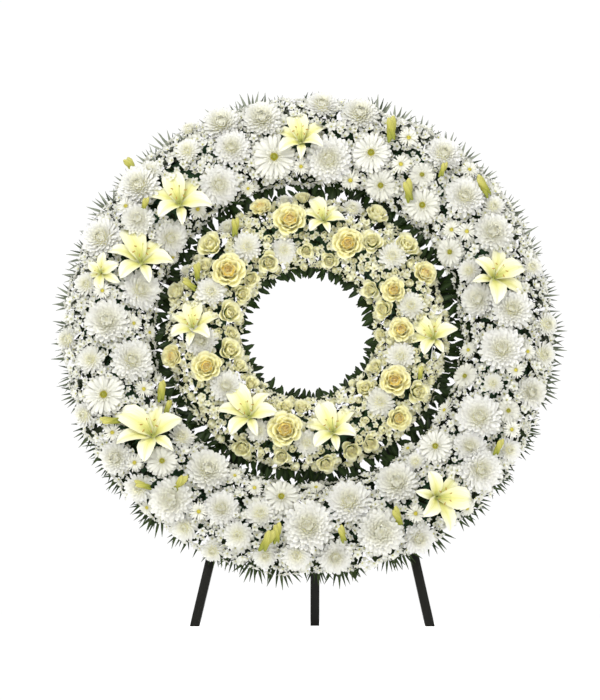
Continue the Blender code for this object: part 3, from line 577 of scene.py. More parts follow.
def sheetPetal(name, outline, bend=0.0, cup=0.0, columns=3, thick=0.02, rounded=0.0, curlFrom=1.0,
               curl=0.0, ruffle=0.0):
    def headingAt(share):
        return bend * share + curl * max(share - curlFrom, 0.0)

    def normalAt(share):
        return Vector((-math.sin(headingAt(share)), 0.0, math.cos(headingAt(share))))

    rows = len(outline)
    points = []
    along = []
    across = []
    spineX = 0.0
    spineZ = 0.0
    for row, (share, half) in enumerate(outline):
        if row:
            step = share - outline[row - 1][0]
            heading = headingAt((share + outline[row - 1][0]) / 2)
            spineX += step * math.cos(heading)
            spineZ += step * math.sin(heading)
        heading = headingAt(share)
        for column in range(columns):
            u = 2.0 * column / (columns - 1) - 1.0
            arc = cup * u
            side = half * (math.sin(arc) / cup if cup else u)
            lift = half * ((1.0 - math.cos(arc)) / cup if cup else 0.0)
            lift += ruffle * u * u * math.sin(11.0 * share + (1.6 if u > 0 else 0.0))
            back = rounded * u * u * share
            spine = Vector((spineX - back * math.cos(heading), 0.0,
                            spineZ - back * math.sin(heading)))
            points.append(spine + Vector((0.0, side, 0.0)) + normalAt(share) * lift)
            along.append(share)
            across.append(u)
    top = [[row * columns + column for column in range(columns)] for row in range(rows)]
    under = [list(line) for line in top]
    for row in range(1, rows - 1):
        for column in range(1, columns - 1):
            under[row][column] = len(points)
            points.append(points[top[row][column]] - normalAt(outline[row][0]) * thick)
            along.append(outline[row][0])
            across.append(across[top[row][column]])
    faces = []
    for row in range(rows - 1):
        for column in range(columns - 1):
            for sheet, facing in ((top, 1), (under, -1)):
                loop = [sheet[row][column], sheet[row + 1][column], sheet[row + 1][column + 1],
                        sheet[row][column + 1]]
                faces.append(loop[::-facing])
    return patternMesh(name, points, faces, along, across, True)


def patternMesh(name, points, faces, along, across, sharpRim):
    mesh = meshFrom(name, points, faces=faces)
    putValues(mesh, "along", "FLOAT", along)
    putValues(mesh, "across", "FLOAT", across)
    turnOutwards(mesh)
    if sharpRim:
        smoothUnder(mesh, 70)
    else:
        mesh.shade_smooth()
    return patternObject(name, mesh)


def patternObject(name, mesh, home=None):
    made = bpy.data.objects.new(name, mesh)
    (home or patternHome).objects.link(made)
    return made


# a flat-sided spindle along X: florets, anthers, buds and the green cup under a head
def spindle(name, sections, sides, stretch=1.0):
    points = [Vector((sections[0][0], 0.0, 0.0))]
    along = [0.0]
    across = [0.0]
    faces = []
    reach = sections[-1][0] - sections[0][0]
    for x, radius in sections[1:-1]:
        for side in range(sides):
            turn = side * math.tau / sides
            points.append(Vector((x, radius * math.cos(turn), radius * stretch * math.sin(turn))))
            along.append((x - sections[0][0]) / reach)
            across.append(math.cos(3 * turn))
    points.append(Vector((sections[-1][0], 0.0, 0.0)))
    along.append(1.0)
    across.append(0.0)
    last = len(points) - 1
    for side in range(sides):
        after = (side + 1) % sides
        faces.append((0, 1 + after, 1 + side))
        for row in range(len(sections) - 3):
            base = 1 + row * sides
            faces.append((base + side, base + after, base + sides + after, base + sides + side))
        base = last - sides
        faces.append((base + side, base + after, last))
    return patternMesh(name, points, faces, along, across, False)


petals = {
    "mum": sheetPetal("mumLong", bend=0.50, cup=0.62, thick=0.030, rounded=0.08,
        outline=[(0.0, 0.06), (0.48, 0.150), (0.86, 0.170), (1.0, 0.115)]),
    "mumCore": sheetPetal("mumCore", bend=1.5, cup=0.55, thick=0.040, rounded=0.08,
        outline=[(0.0, 0.10), (0.50, 0.20), (0.86, 0.20), (1.0, 0.10)]),
    "gerbera": sheetPetal("gerberaLong", bend=-0.26, cup=0.22, thick=0.014,
        outline=[(0.0, 0.050), (0.30, 0.092), (0.65, 0.134), (0.92, 0.112), (1.0, 0.050)]),
    "daisy": sheetPetal("daisyLong", bend=-0.1, cup=0.4, thick=0.02,
        outline=[(0.0, 0.06), (0.45, 0.11), (0.85, 0.105), (1.0, 0.04)]),
    "wax": sheetPetal("waxRound", bend=0.5, cup=0.4, thick=0.05,
        outline=[(0.0, 0.10), (0.55, 0.40), (1.0, 0.16)]),
    "roseHeart": sheetPetal("roseHeart", bend=0.10, cup=1.25, columns=7, thick=0.02, rounded=0.16,
        outline=[(0.0, 0.10), (0.3, 0.30), (0.6, 0.44), (0.85, 0.44), (1.0, 0.36)]),
    "roseWide": sheetPetal("roseWide", bend=0.45, cup=1.0, columns=7, thick=0.02, rounded=0.20,
        curlFrom=0.66, curl=-3.2,
        outline=[(0.0, 0.12), (0.25, 0.38), (0.5, 0.58), (0.72, 0.64), (0.88, 0.60), (1.0, 0.50)]),
    "lilyWide": sheetPetal("lilyWide", bend=-1.85, cup=0.65, columns=5, thick=0.018, ruffle=0.035,
        outline=[(0.0, 0.05), (0.14, 0.11), (0.3, 0.21), (0.48, 0.285), (0.64, 0.27), (0.8, 0.19),
                 (0.92, 0.10), (1.0, 0.012)]),
    "lilyNarrow": sheetPetal("lilyNarrow", bend=-2.0, cup=0.55, columns=5, thick=0.018,
        ruffle=0.02,
        outline=[(0.0, 0.04), (0.14, 0.085), (0.3, 0.145), (0.48, 0.192), (0.64, 0.18),
                 (0.8, 0.125), (0.92, 0.060), (1.0, 0.010)]),
    "cup": sheetPetal("cupPetal", bend=1.3, cup=1.0, columns=5, thick=0.03, rounded=0.15,
        outline=[(0.0, 0.12), (0.4, 0.45), (0.8, 0.50), (1.0, 0.34)]),
    "floret": spindle("floret", [(-0.5, 0.0), (0.3, 0.5), (1.0, 0.0)], 4),
    "filament": spindle("filament",
        [(0.0, 0.0), (0.05, 0.022), (0.6, 0.018), (0.98, 0.014), (1.0, 0.0)], 4),
    "anther": spindle("anther", [(0.94, 0.0), (0.97, 0.030), (1.02, 0.032), (1.05, 0.0)], 6, 3.2),
    "greenCup": spindle("greenCup",
        [(-0.42, 0.0), (-0.36, 0.14), (-0.10, 0.34), (0.02, 0.40), (0.06, 0.0)], 10),
    "budForm": spindle("budForm",
        [(0.0, 0.0), (0.04, 0.05), (0.25, 0.11), (0.55, 0.16), (0.80, 0.14), (0.95, 0.06),
         (1.0, 0.0)], 12),
    "leaf": sheetPetal("leafForm", bend=-0.35, cup=0.5, thick=0.02,
        outline=[(0.0, 0.03), (0.22, 0.13), (0.52, 0.17), (0.82, 0.11), (1.0, 0.01)]),
    "smallLeaf": sheetPetal("smallLeaf", bend=-0.3, cup=0.5, thick=0.03,
        outline=[(0.0, 0.03), (0.45, 0.20), (1.0, 0.01)]),
    "blade": sheetPetal("blade", bend=-0.15, cup=0.5, thick=0.016,
        outline=[(0.0, 0.018), (0.30, 0.052), (0.65, 0.046), (1.0, 0.004)]),
    "whiteDome": spindle("whiteDome",
        [(-0.10, 0.0), (0.0, 0.60), (0.14, 0.52), (0.26, 0.26), (0.30, 0.0)], 10)}
print("petals and leaves shaped")

# heads, with a radius of one metre and facing Z; tilts are in degrees above the head's own plane
evenly = math.tau
usualLayer = {"turn": goldenTurn, "phase": 0.0, "radius": 0.0, "height": 0.0, "size": 1.0,
              "tilt": 90, "jitter": 0.0, "kind": 0}


def layer(petal, count=1, **changes):
    return {**usualLayer, "petal": petal, "count": count, **changes}


whiteDome = layer("whiteDome")
greenCup = layer("greenCup", kind=3)
headForms = {
    "mumOpen": [
        layer("mum", 150, radius=(0.12, 0.40), height=(0.28, 0.0), size=(0.30, 0.68),
              tilt=(64, -10), jitter=0.12),
        layer("mumCore", 58, radius=(0.0, 0.21), height=(0.37, 0.27), size=(0.11, 0.27),
              tilt=(80, 58), jitter=0.16),
        layer("floret", 14, radius=(0.03, 0.20), height=(0.45, 0.38), size=0.032, jitter=0.2,
              kind=1),
        whiteDome, greenCup],
    "mumBall": [
        layer("mum", 130, radius=(0.14, 0.36), height=(0.32, -0.04), size=(0.36, 0.72),
              tilt=(60, -6), jitter=0.10),
        layer("mumCore", 66, radius=(0.0, 0.25), height=(0.42, 0.28), size=(0.13, 0.34),
              tilt=(78, 54), jitter=0.12),
        whiteDome, greenCup],
    "mumSmall": [
        layer("mum", 92, radius=(0.12, 0.38), height=(0.30, 0.0), size=(0.34, 0.68), tilt=(60, -8),
              jitter=0.11),
        layer("mumCore", 30, radius=(0.0, 0.19), height=(0.36, 0.27), size=(0.14, 0.30),
              tilt=(78, 58), jitter=0.16),
        layer("floret", 9, radius=(0.03, 0.18), height=(0.46, 0.38), size=0.042, jitter=0.2,
              kind=1),
        whiteDome, greenCup],
    "gerbera": [
        layer("gerbera", 27, turn=evenly / 27, radius=0.20, size=0.82, tilt=2, jitter=0.07),
        layer("gerbera", 25, turn=evenly / 25, phase=0.14, radius=0.16, height=0.05, size=0.74,
              tilt=11, jitter=0.09),
        layer("daisy", 44, radius=(0.14, 0.21), height=(0.11, 0.07), size=(0.12, 0.28),
              tilt=(76, 26), jitter=0.18),
        layer("floret", 110, radius=(0.0, 0.175), height=(0.14, 0.10), size=0.030, jitter=0.25,
              kind=1),
        layer("whiteDome", height=0.075, size=0.27, kind=1),
        layer("greenCup", height=-0.02, size=0.62, kind=3)],
    "daisy": [
        layer("daisy", 19, turn=evenly / 19, radius=0.2, size=0.80, tilt=4, jitter=0.10),
        layer("daisy", 15, turn=evenly / 15, phase=0.2, radius=0.18, height=0.04, size=0.66,
              tilt=20, jitter=0.12),
        layer("floret", 42, radius=(0.0, 0.22), height=(0.17, 0.08), size=0.06, tilt=(90, 60),
              jitter=0.2, kind=1),
        layer("whiteDome", height=0.06, size=0.34, kind=1),
        layer("greenCup", height=-0.03, size=0.65, kind=3)],
    "wax": [
        layer("wax", 5, turn=evenly / 5, radius=0.08, size=0.92, tilt=12, jitter=0.12),
        layer("floret", height=0.10, size=0.24, kind=1)],
    "rose": [
        layer("roseHeart", 6, radius=(0.02, 0.08), height=0.04, size=(0.58, 0.60), tilt=(96, 90),
              jitter=0.05),
        layer("whiteDome", height=0.25, size=0.62),
        layer("roseHeart", 7, radius=(0.11, 0.18), height=0.0, size=0.62, tilt=(86, 80),
              jitter=0.05),
        layer("roseHeart", 8, radius=(0.21, 0.29), height=-0.06, size=0.66, tilt=(76, 66),
              jitter=0.05),
        layer("roseWide", 7, radius=(0.30, 0.34), height=-0.10, size=0.72, tilt=(60, 50),
              jitter=0.04),
        layer("roseWide", 8, radius=0.34, height=-0.14, size=0.78, tilt=(40, 30), jitter=0.04),
        layer("greenCup", height=-0.10, size=0.9, kind=3)],
    "bud": [
        layer("roseHeart", 5, radius=(0.03, 0.10), height=0.08, size=(0.56, 0.60), tilt=(98, 90),
              jitter=0.08),
        layer("whiteDome", height=0.22, size=0.5),
        layer("roseHeart", 6, radius=(0.17, 0.26), height=-0.02, size=0.68, tilt=(88, 80),
              jitter=0.08),
        layer("roseWide", 6, radius=(0.30, 0.35), height=-0.12, size=0.76, tilt=(70, 58),
              jitter=0.08),
        layer("roseWide", 4, radius=0.34, height=-0.18, size=0.78, tilt=(52, 38), jitter=0.10),
        layer("greenCup", height=-0.12, size=0.9, kind=3)],
    "smallBud": [
        layer("cup", 3, radius=(0.08, 0.14), height=-0.05, size=0.74, tilt=(84, 76), jitter=0.06),
        layer("cup", 5, radius=(0.42, 0.48), height=-0.35, size=1.05, tilt=(68, 58), jitter=0.08),
        layer("greenCup", height=-0.15, size=0.9, kind=3)],
    "lilyBud": [
        layer("budForm", 2, turn=0.42, radius=(-0.5, -0.42), height=(0.0, 0.05), size=(1.0, 0.82),
              tilt=(14, 22), jitter=0.06)],
    "lily": [
        layer("lilyWide", phase=evenly / 4, radius=0.04, height=-0.36, size=1.52, tilt=72,
              jitter=0.14),
        layer("lilyNarrow", 2, turn=evenly / 3, phase=evenly / 12, radius=0.05, height=-0.40,
              size=1.46, tilt=65, jitter=0.14),
        layer("lilyWide", 2, turn=evenly / 3, phase=evenly * 7 / 12, radius=0.04, height=-0.36,
              size=1.16, tilt=64, jitter=0.14),
        layer("lilyNarrow", phase=evenly * 3 / 4, radius=0.05, height=-0.40, size=1.02, tilt=60,
              jitter=0.14),
        layer("filament", 6, turn=evenly / 6, radius=0.03, height=-0.26, size=0.62, tilt=68,
              kind=3),
        layer("anther", 6, turn=evenly / 6, radius=0.03, height=-0.26, size=0.62, tilt=68, kind=2),
        layer("filament", height=-0.26, size=0.86, tilt=86, kind=3),
        layer("floret", radius=0.06, height=0.60, size=0.06, kind=3),
        layer("greenCup", height=-0.32, size=0.42, kind=3)],
    "sprig": [
        layer("smallLeaf", 3, turn=evenly / 3, radius=0.05, size=0.95, tilt=24, jitter=0.35)]}


def pair(value):
    return value if isinstance(value, tuple) else (value, value)


def growHead(name, layers, finish, home, seed):
    head = patternObject(name, bpy.data.meshes.new(name), home)
    for number, form in enumerate(layers):
        values = {"Petal": petals[form["petal"]], "Count": form["count"], "Turn": form["turn"],
                  "Phase": form["phase"], "Jitter": form["jitter"],
                  "Kind": float(form["kind"]), "Seed": seed + number, "Finish": finish}
        for label in gradedValues:
            unit = math.radians(1.0) if label == "Tilt" else 1.0
            inner, outer = pair(form[label.lower()])
            values["Inner " + label] = inner * unit
            values["Outer " + label] = outer * unit
        addStep(head, spiralLayer, values)
    head.data = plainMesh(head)


# where each bloom shows in the photograph: x, y and radius in its pixels, and for a lily also
# how far its throat shows from its middle
outerSpots = {
    "gerbera": [
        (274, 157, 24), (371, 153, 20), (423, 205, 20), (451, 252, 17), (104, 395, 22),
        (436, 448, 19), (281, 498, 20), (508, 411, 13), (466, 377, 15), (162, 462, 15),
        (381, 185, 19), (422, 175, 13)],
    "lily": [
        (177, 192, 32, 3, 11), (140, 250, 32, 2, 12), (300, 130, 27, 1, 12), (500, 272, 28, -7, 6),
        (148, 427, 32, 5, 7), (445, 497, 30, -9, 0), (100, 272, 18)],
    "mum": [
        (222, 125, 20), (262, 120, 20), (322, 106, 18), (360, 115, 20), (443, 155, 19),
        (232, 148, 17), (219, 185, 21), (329, 159, 24), (140, 187, 22), (150, 173, 14),
        (188, 152, 13), (190, 131, 12), (102, 238, 22), (138, 220, 15), (170, 238, 19),
        (87, 285, 13), (140, 290, 21), (107, 322, 20), (67, 340, 15), (91, 360, 14),
        (131, 361, 21), (85, 415, 15), (117, 458, 18), (181, 438, 14), (140, 488, 16),
        (172, 500, 22), (185, 527, 16), (207, 472, 22), (221, 509, 16), (260, 514, 14),
        (238, 535, 15), (213, 550, 14), (265, 556, 14), (297, 555, 16), (308, 527, 23),
        (335, 557, 18), (349, 503, 22), (397, 484, 21), (416, 463, 11), (380, 532, 23),
        (418, 538, 18), (480, 470, 22), (470, 447, 15), (508, 450, 14), (479, 418, 21),
        (530, 393, 17), (502, 350, 21), (543, 355, 15), (545, 325, 14), (512, 310, 19),
        (479, 300, 18), (470, 271, 13), (493, 233, 19), (493, 207, 13), (465, 197, 19),
        (531, 268, 12), (493, 384, 10)],
    "daisy": [
        (351, 179, 11), (301, 166, 9), (401, 165, 9), (452, 230, 9), (467, 232, 9), (197, 209, 10),
        (127, 208, 9), (103, 292, 8), (133, 324, 8), (148, 333, 8), (143, 390, 9), (113, 433, 9),
        (135, 463, 9), (148, 507, 9), (199, 512, 9), (234, 478, 8), (254, 490, 9), (316, 490, 8),
        (406, 447, 9), (446, 412, 9), (510, 430, 9), (415, 514, 9), (470, 351, 9), (515, 371, 8),
        (527, 352, 8), (466, 508, 9), (185, 264, 9), (408, 140, 10), (247, 187, 8), (468, 172, 9)]}
innerSpots = {
    "rose": [
        (290, 222, 17), (348, 244, 16), (228, 272, 17), (394, 291, 13), (402, 331, 13),
        (395, 382, 15), (397, 418, 14), (285, 431, 17), (207, 368, 15), (176, 357, 14),
        (423, 275, 14), (262, 210, 13)],
    "bud": [
        (213, 248, 13), (375, 218, 12), (405, 248, 13), (372, 243, 10), (330, 260, 9),
        (268, 262, 11), (178, 293, 11), (205, 268, 8), (228, 314, 12), (231, 335, 8),
        (240, 294, 10), (303, 201, 8), (229, 352, 12), (238, 368, 8), (385, 310, 10),
        (416, 392, 11), (285, 409, 8), (302, 409, 8), (243, 447, 11), (282, 456, 9),
        (351, 450, 10), (370, 443, 9), (366, 389, 9), (372, 290, 10), (376, 368, 8), (382, 335, 7),
        (250, 385, 8), (250, 278, 9), (325, 462, 10), (306, 250, 8)],
    "lily": [
        (323, 213, 21, 1, 7), (192, 320, 26, 0, 8), (427, 331, 26, 8, 6), (246, 409, 27, 3, 7),
        (331, 425, 26, 2, 7)],
    "mum": [
        (284, 200, 10), (352, 210, 13), (228, 228, 12), (247, 247, 14), (284, 250, 14),
        (392, 257, 14), (211, 292, 14), (411, 306, 13), (201, 341, 15), (401, 357, 14),
        (226, 387, 15), (380, 402, 14), (259, 431, 12), (307, 443, 13), (187, 272, 8)]}
# x, y, the way it points in degrees from the right, and its length in pixels
lilyBudSpots = {
    "outer": [(130, 165, 110, 26), (145, 205, 60, 18), (160, 392, 80, 25), (167, 408, 65, 18),
              (110, 421, 170, 22), (143, 485, 150, 20), (180, 484, 40, 24), (391, 130, 80, 30),
              (409, 190, 85, 27), (443, 170, 60, 18), (482, 187, 115, 27), (498, 447, 60, 20),
              (397, 517, 100, 24), (342, 534, 95, 20), (268, 540, 50, 30), (277, 533, 75, 24)],
    "inner": [(236, 228, 75, 22), (190, 285, 130, 20), (198, 272, 80, 20), (420, 373, 80, 16)]}
lilyLift = 0.016
throatTurn = 2.7      # a lily faces away from where its throat shows
throatShift = 0.55    # and stands this much of the way towards it
towardsView = 0.45    # blooms at the rings' edges turn this much to the front
headRaise = {"daisy": 0.007, "gerbera": 0.004, "rose": 0.005, "lilyBud": 0.012}
headGrowth = {"gerbera": 1.04, "lily": 1.0, "mum": 1.14, "daisy": 1.15, "rose": 1.14, "bud": 1.56}


def seenOnRing(ring, x, y, raised):
    # the place on the ring's rounded cross-section that shows at this pixel
    tilt = lean + math.radians(photoView["pitch"])
    reach = ring["reach"] + raised
    rise = ring["rise"] + raised
    up = 0.0
    height = ring["footHeight"] + rise
    turn = math.pi / 2
    for _ in range(8):
        scale = 1.0 + ((up * math.sin(tilt) - height * math.cos(tilt)) / photoView["distance"])
        across = (x - photoView["middle"][0]) * photoView["metresPerPixel"] * scale
        seenUp = (photoView["middle"][1] - y) * photoView["metresPerPixel"] * scale
        up = (seenUp - height * math.sin(tilt)) / math.cos(tilt)
        offset = math.hypot(across, up) - ring["radius"]
        turn = math.acos(min(max(offset / reach, -0.94), 0.94))
        height = ring["footHeight"] + rise * math.sin(turn)
    return onRing(ring, math.atan2(up, across), turn, raised)


def onRing(ring, angle, turn, raised):
    reach = ring["reach"] + raised
    rise = ring["rise"] + raised
    place = aroundMiddle(ring["radius"] + reach * math.cos(turn), angle,
                         ring["footHeight"] + rise * math.sin(turn))
    facing = aroundMiddle(math.cos(turn) / reach, angle, math.sin(turn) / rise)
    return {"place": place, "facing": facing.normalized(), "angle": angle, "turn": turn,
            "ring": ring, "pick": 0}


def planHeads(ring, spots, seed):
    draw = random.Random(seed)
    heads = []
    for kind, places in spots.items():
        for x, y, radius, *throat in places:
            spin = draw.uniform(0.0, math.tau)
            if throat:
                spin = math.atan2(throat[1], -throat[0]) - math.pi + 0.08 * spin - 0.25
                x += throatShift * throat[0]
                y += throatShift * throat[1]
            head = seenOnRing(ring, x, y, lilyLift if kind == "lily" else 0.0)
            if throat:
                away = throatTurn * Vector((-throat[0], throat[1], 0.0)) / radius
                head["facing"] = (head["facing"] + away).normalized()
            head["facing"] = (head["facing"] + Vector((0.0, 0.0, towardsView))).normalized()
            edge = 1.0 - 0.22 * abs(math.cos(head["turn"]))
            head["kind"] = kind
            head["size"] = radius * photoView["metresPerPixel"] * edge * headGrowth[kind]
            head["spin"] = spin
            if throat:
                head["spin"] -= math.atan2(head["facing"].y, head["facing"].x)
            head["tone"] = draw.random()
            head["place"] = head["place"] + head["facing"] * (draw.uniform(-0.003, 0.004)
                                                              + headRaise.get(kind, 0.0))
            heads.append(head)
    return heads


def planBuds(ring, spots):
    heads = []
    for x, y, pointing, length in spots:
        head = seenOnRing(ring, x, y, headRaise["lilyBud"])
        head["facing"] = (head["facing"] + Vector((0.0, 0.0, towardsView))).normalized()
        turned = math.atan2(head["facing"].y, head["facing"].x) + math.pi / 2
        head.update(kind="lilyBud", size=length * photoView["metresPerPixel"],
                    spin=math.radians(pointing) - turned, tone=(x * 7 % 10) / 10)
        heads.append(head)
    return heads


def eulerFor(facing, spin):
    return (facing.to_track_quat("Z", "Y") @ Euler((0.0, 0.0, spin)).to_quaternion()).to_euler()


def newHome(name):
    home = bpy.data.collections.new(name + "Forms")
    patternHome.children.link(home)
    return home


def copyForms(name, home, places, turns, values, finish, nodes=()):
    # one piece: at each place a copy of one of the forms in the collection
    mesh = meshFrom(name, places)
    putValues(mesh, "turn", "FLOAT_VECTOR", [value for turn in turns for value in turn])
    for label, numbers in values.items():
        putValues(mesh, label, "INT" if label == "pick" else "FLOAT", numbers)
    thing = patternObject(name + "Points", mesh)
    addStep(thing, standHeads, {"Heads": home, "Finish": finishes[finish]})
    finishPiece(name, plainMesh(thing), nodes)


def standOut(name, heads, forms, finish, nodes):
    # one piece: every head of one kind, each a copy of one of the kind's forms
    home = newHome(name)
    for number, form in enumerate(forms):
        growHead(f"{name}{number}", headForms[form], finishes[finish], home, 31 * number + 7)
    copyForms(name, home, [head["place"] for head in heads],
              [eulerFor(head["facing"], head["spin"]) for head in heads],
              {label: [head[label] for head in heads] for label in ("size", "tone", "pick")},
              finish, nodes)


outerNodes = nodesOf("outer_blooms", 8)
innerNodes = nodesOf("inner_blooms", 4)
outerHeads = planHeads(outerRing, outerSpots, 12)
innerHeads = planHeads(innerRing, innerSpots, 13)
outerBuds = planBuds(outerRing, lilyBudSpots["outer"])
innerBuds = planBuds(innerRing, lilyBudSpots["inner"])


def ofKind(heads, kind):
    return [head for head in heads if head["kind"] == kind]


for head in ofKind(outerHeads, "mum") + ofKind(innerHeads, "mum"):
    head["pick"] = 2 if head["size"] < 0.036 else (0 if head["tone"] < 0.6 else 1)
for number, head in enumerate(ofKind(outerHeads, "lily") + ofKind(innerHeads, "lily")):
    head["pick"] = number % 3
outerMums = ofKind(outerHeads, "mum")
mumForms = ["mumOpen", "mumBall", "mumSmall"]
lilyForms = ["lily"] * 3
for name, heads, forms, finish, slotName in (
        ("leftMums", [head for head in outerMums if head["place"].x < 0], mumForms, "mumPetal",
         "white_petal"),
        ("rightMums", [head for head in outerMums if head["place"].x > 0], mumForms, "mumPetal",
         "white_petal"),
        ("innerMums", ofKind(innerHeads, "mum"), mumForms, "mumPetal", "white_petal"),
        ("gerberas", ofKind(outerHeads, "gerbera"), ["gerbera"], "gerberaPetal", "white_petal"),
        ("daisies", ofKind(outerHeads, "daisy"), ["daisy"], "daisyPetal", "white_petal"),
        ("outerLilies", ofKind(outerHeads, "lily"), lilyForms, "lilyPetal", "white_petal"),
        ("innerLilies", ofKind(innerHeads, "lily"), lilyForms, "lilyPetal", "yellow_petal"),
        ("outerLilyBuds", outerBuds, ["lilyBud"], "lilyBud", "white_petal"),
        ("innerLilyBuds", innerBuds, ["lilyBud"], "lilyBud", "yellow_petal"),
        ("roses", ofKind(innerHeads, "rose"), ["rose"], "rosePetal", "yellow_petal"),
        ("roseBuds", ofKind(innerHeads, "bud"), ["bud"], "budPetal", "yellow_petal")):
    nodes = outerNodes if heads[0]["ring"] is outerRing else innerNodes
    standOut(name, heads, forms, finish, nodes)
print("blooms stood on the rings")


# small white blossoms and dark leaves between the blooms
filling = {
    "outer": {"ring": outerRing, "spacing": 0.0103, "sink": -0.004, "size": (0.0080, 0.0135),
              "tries": 14000},
    "inner": {"ring": innerRing, "spacing": 0.0100, "sink": -0.002, "size": (0.0074, 0.0120),
              "tries": 8000},
    "outerLeaves": {"ring": outerRing, "spacing": 0.018, "sink": -0.026, "size": (0.024, 0.036),
                    "tries": 6000},
    "innerLeaves": {"ring": innerRing, "spacing": 0.018, "sink": -0.022, "size": (0.020, 0.030),
                    "tries": 3500},
    "smallBuds": {"ring": innerRing, "spacing": 0.034, "sink": -0.004, "size": (0.012, 0.018),
                  "tries": 2500}}


def scatter(values, heads, clear, seed, lay):
    draw = random.Random(seed)
    ring = values["ring"]
    found = []
    cells = {}
    for _ in range(values["tries"]):
        spot = onRing(ring, draw.uniform(-math.pi, math.pi), draw.uniform(0.06, math.pi - 0.06),
                      values["sink"])
        place = spot["place"]
        cell = tuple(int(math.floor(value / values["spacing"])) for value in place)
        near = [other for dx in (-1, 0, 1) for dy in (-1, 0, 1) for dz in (-1, 0, 1)
                for other in cells.get((cell[0] + dx, cell[1] + dy, cell[2] + dz), [])]
        if any((place - other).length < values["spacing"] for other in near):
            continue
        if any((place - head["place"]).length < clear * head["size"] for head in heads):
            continue
        cells.setdefault(cell, []).append(place)
        tilted = Euler((draw.uniform(-lay, lay), draw.uniform(-lay, lay), 0.0)).to_matrix()
        spot["facing"] = (tilted @ spot["facing"]).normalized()
        spot.update(spin=draw.uniform(0.0, math.tau), tone=draw.random(),
                    size=draw.uniform(*values["size"]))
        spot["place"] = place + spot["facing"] * draw.uniform(-0.004, 0.008)
        found.append(spot)
    return found


smallBuds = scatter(filling["smallBuds"], innerHeads, 0.85, 4, 0.4)
standOut("smallRoseBuds", smallBuds, ["smallBud"], "budPetal", innerNodes)
innerHeads += smallBuds
standOut("outerWaxFlowers", scatter(filling["outer"], outerHeads, 0.80, 5, 0.6), ["wax"],
         "waxPetal", outerNodes)
# the inner blossoms take the paler cream finish, with painted light against the inner ring's shade
standOut("innerWaxFlowers", scatter(filling["inner"], innerHeads, 0.80, 6, 0.6), ["wax"],
         "creamWaxPaintedLight", innerNodes)
standOut("outerUnderLeaves", scatter(filling["outerLeaves"], outerHeads, 0.3, 7, 0.5), ["sprig"],
         "darkLeaf", outerNodes)
standOut("innerUnderLeaves", scatter(filling["innerLeaves"], innerHeads, 0.3, 8, 0.5), ["sprig"],
         "darkLeaf", innerNodes)
print("blossoms and leaves between the blooms")

# stems from the back of each bloom down into the foam
stemForm = {"radius": 0.0018, "sides": 6, "sink": 0.012}


def stemPiece(name, heads, nodes):
    points = []
    edges = []
    for head in heads:
        ring = head["ring"]
        turn = min(max(head["turn"], 0.7), math.pi - 0.7)
        radius = ring["radius"] + (ring["halfWidth"] - stemForm["sink"]) * math.cos(turn)
        height = ring["foamFoot"] + (ring["domeHeight"] - stemForm["sink"]) * math.sin(turn)
        root = aroundMiddle(radius, head["angle"], height)
        neck = head["place"] - head["facing"] * head["size"] * 0.2
        bend = neck.lerp(root, 0.45) - head["facing"] * 0.004
        start = len(points)
        points += [neck, neck.lerp(bend, 0.5), bend, bend.lerp(root, 0.5), root]
        edges += [(start + step, start + step + 1) for step in range(4)]
    thing = patternObject(name + "Lines", meshFrom(name, points, edges))
    addStep(thing, stemTubes, {"Radius": stemForm["radius"], "Sides": stemForm["sides"],
                               "Finish": finishes["stemGreen"]})
    finishPiece(name, plainMesh(thing), nodes)


stemPiece("outerStems", outerHeads, outerNodes)
stemPiece("innerStems", innerHeads, innerNodes)

# rows of leaves at both edges of each ring; the fringe is made of fans of narrow blades
fanForm = dict(leaf="blade", count=8, arc=(-0.85, 0.85), radius=(0.02, 0.0), height=(0.0, 0.02),
               swing=0.06, tilt=(0.0, 0.16), size=(0.86, 0.12), seed=3)
leafRows = {
    "outerFringe": [
        dict(leaf="fan", count=58, radius=(0.502, 0.002), height=(0.012, 0.006), swing=0.35,
             tilt=(-0.02, 0.20), size=(0.062, 0.010), seed=11),
        dict(leaf="blade", count=150, radius=(0.498, 0.004), height=(0.016, 0.006), swing=0.60,
             tilt=(0.04, 0.24), size=(0.056, 0.013), seed=12),
        dict(leaf="leaf", count=150, radius=(0.490, 0.003), height=(0.018, 0.004), swing=0.6,
             tilt=(0.10, 0.25), size=(0.040, 0.006), seed=13)],
    "outerGapLeaves": [
        dict(leaf="leaf", count=168, radius=(0.376, 0.003), height=(0.018, 0.004), inward=True,
             swing=0.5, tilt=(0.0, 0.2), size=(0.056, 0.007), seed=21),
        dict(leaf="leaf", count=170, radius=(0.354, 0.010), height=(0.022, 0.005), inward=True,
             swing=0.9, tilt=(0.05, 0.25), size=(0.034, 0.005), seed=22)],
    "innerGapLeaves": [
        dict(leaf="leaf", count=146, radius=(0.280, 0.003), height=(0.018, 0.004), swing=0.5,
             tilt=(0.0, 0.2), size=(0.052, 0.006), seed=23),
        dict(leaf="leaf", count=150, radius=(0.302, 0.010), height=(0.022, 0.005), swing=0.9,
             tilt=(0.05, 0.25), size=(0.031, 0.005), seed=24)],
    "holeLeaves": [
        dict(leaf="leaf", count=104, radius=(0.160, 0.004), height=(0.018, 0.004), inward=True,
             swing=0.50, tilt=(0.0, 0.2), size=(0.034, 0.007), seed=25),
        dict(leaf="leaf", count=126, radius=(0.172, 0.004), height=(0.022, 0.004), inward=True,
             swing=0.6, tilt=(0.12, 0.2), size=(0.036, 0.006), seed=26)]}


def growRow(thing, row, finish):
    start, end = row.get("arc", (-math.pi, math.pi))
    values = {"Leaf": petals[row["leaf"]], "Count": row["count"], "Start": start, "End": end,
              "Heading": math.pi if row.get("inward") else 0.0, "Swing": row["swing"],
              "Seed": row["seed"], "Finish": finish}
    for label in gradedValues:
        values[label], values[label + " Spread"] = row[label.lower()]
    addStep(thing, leafRow, values)


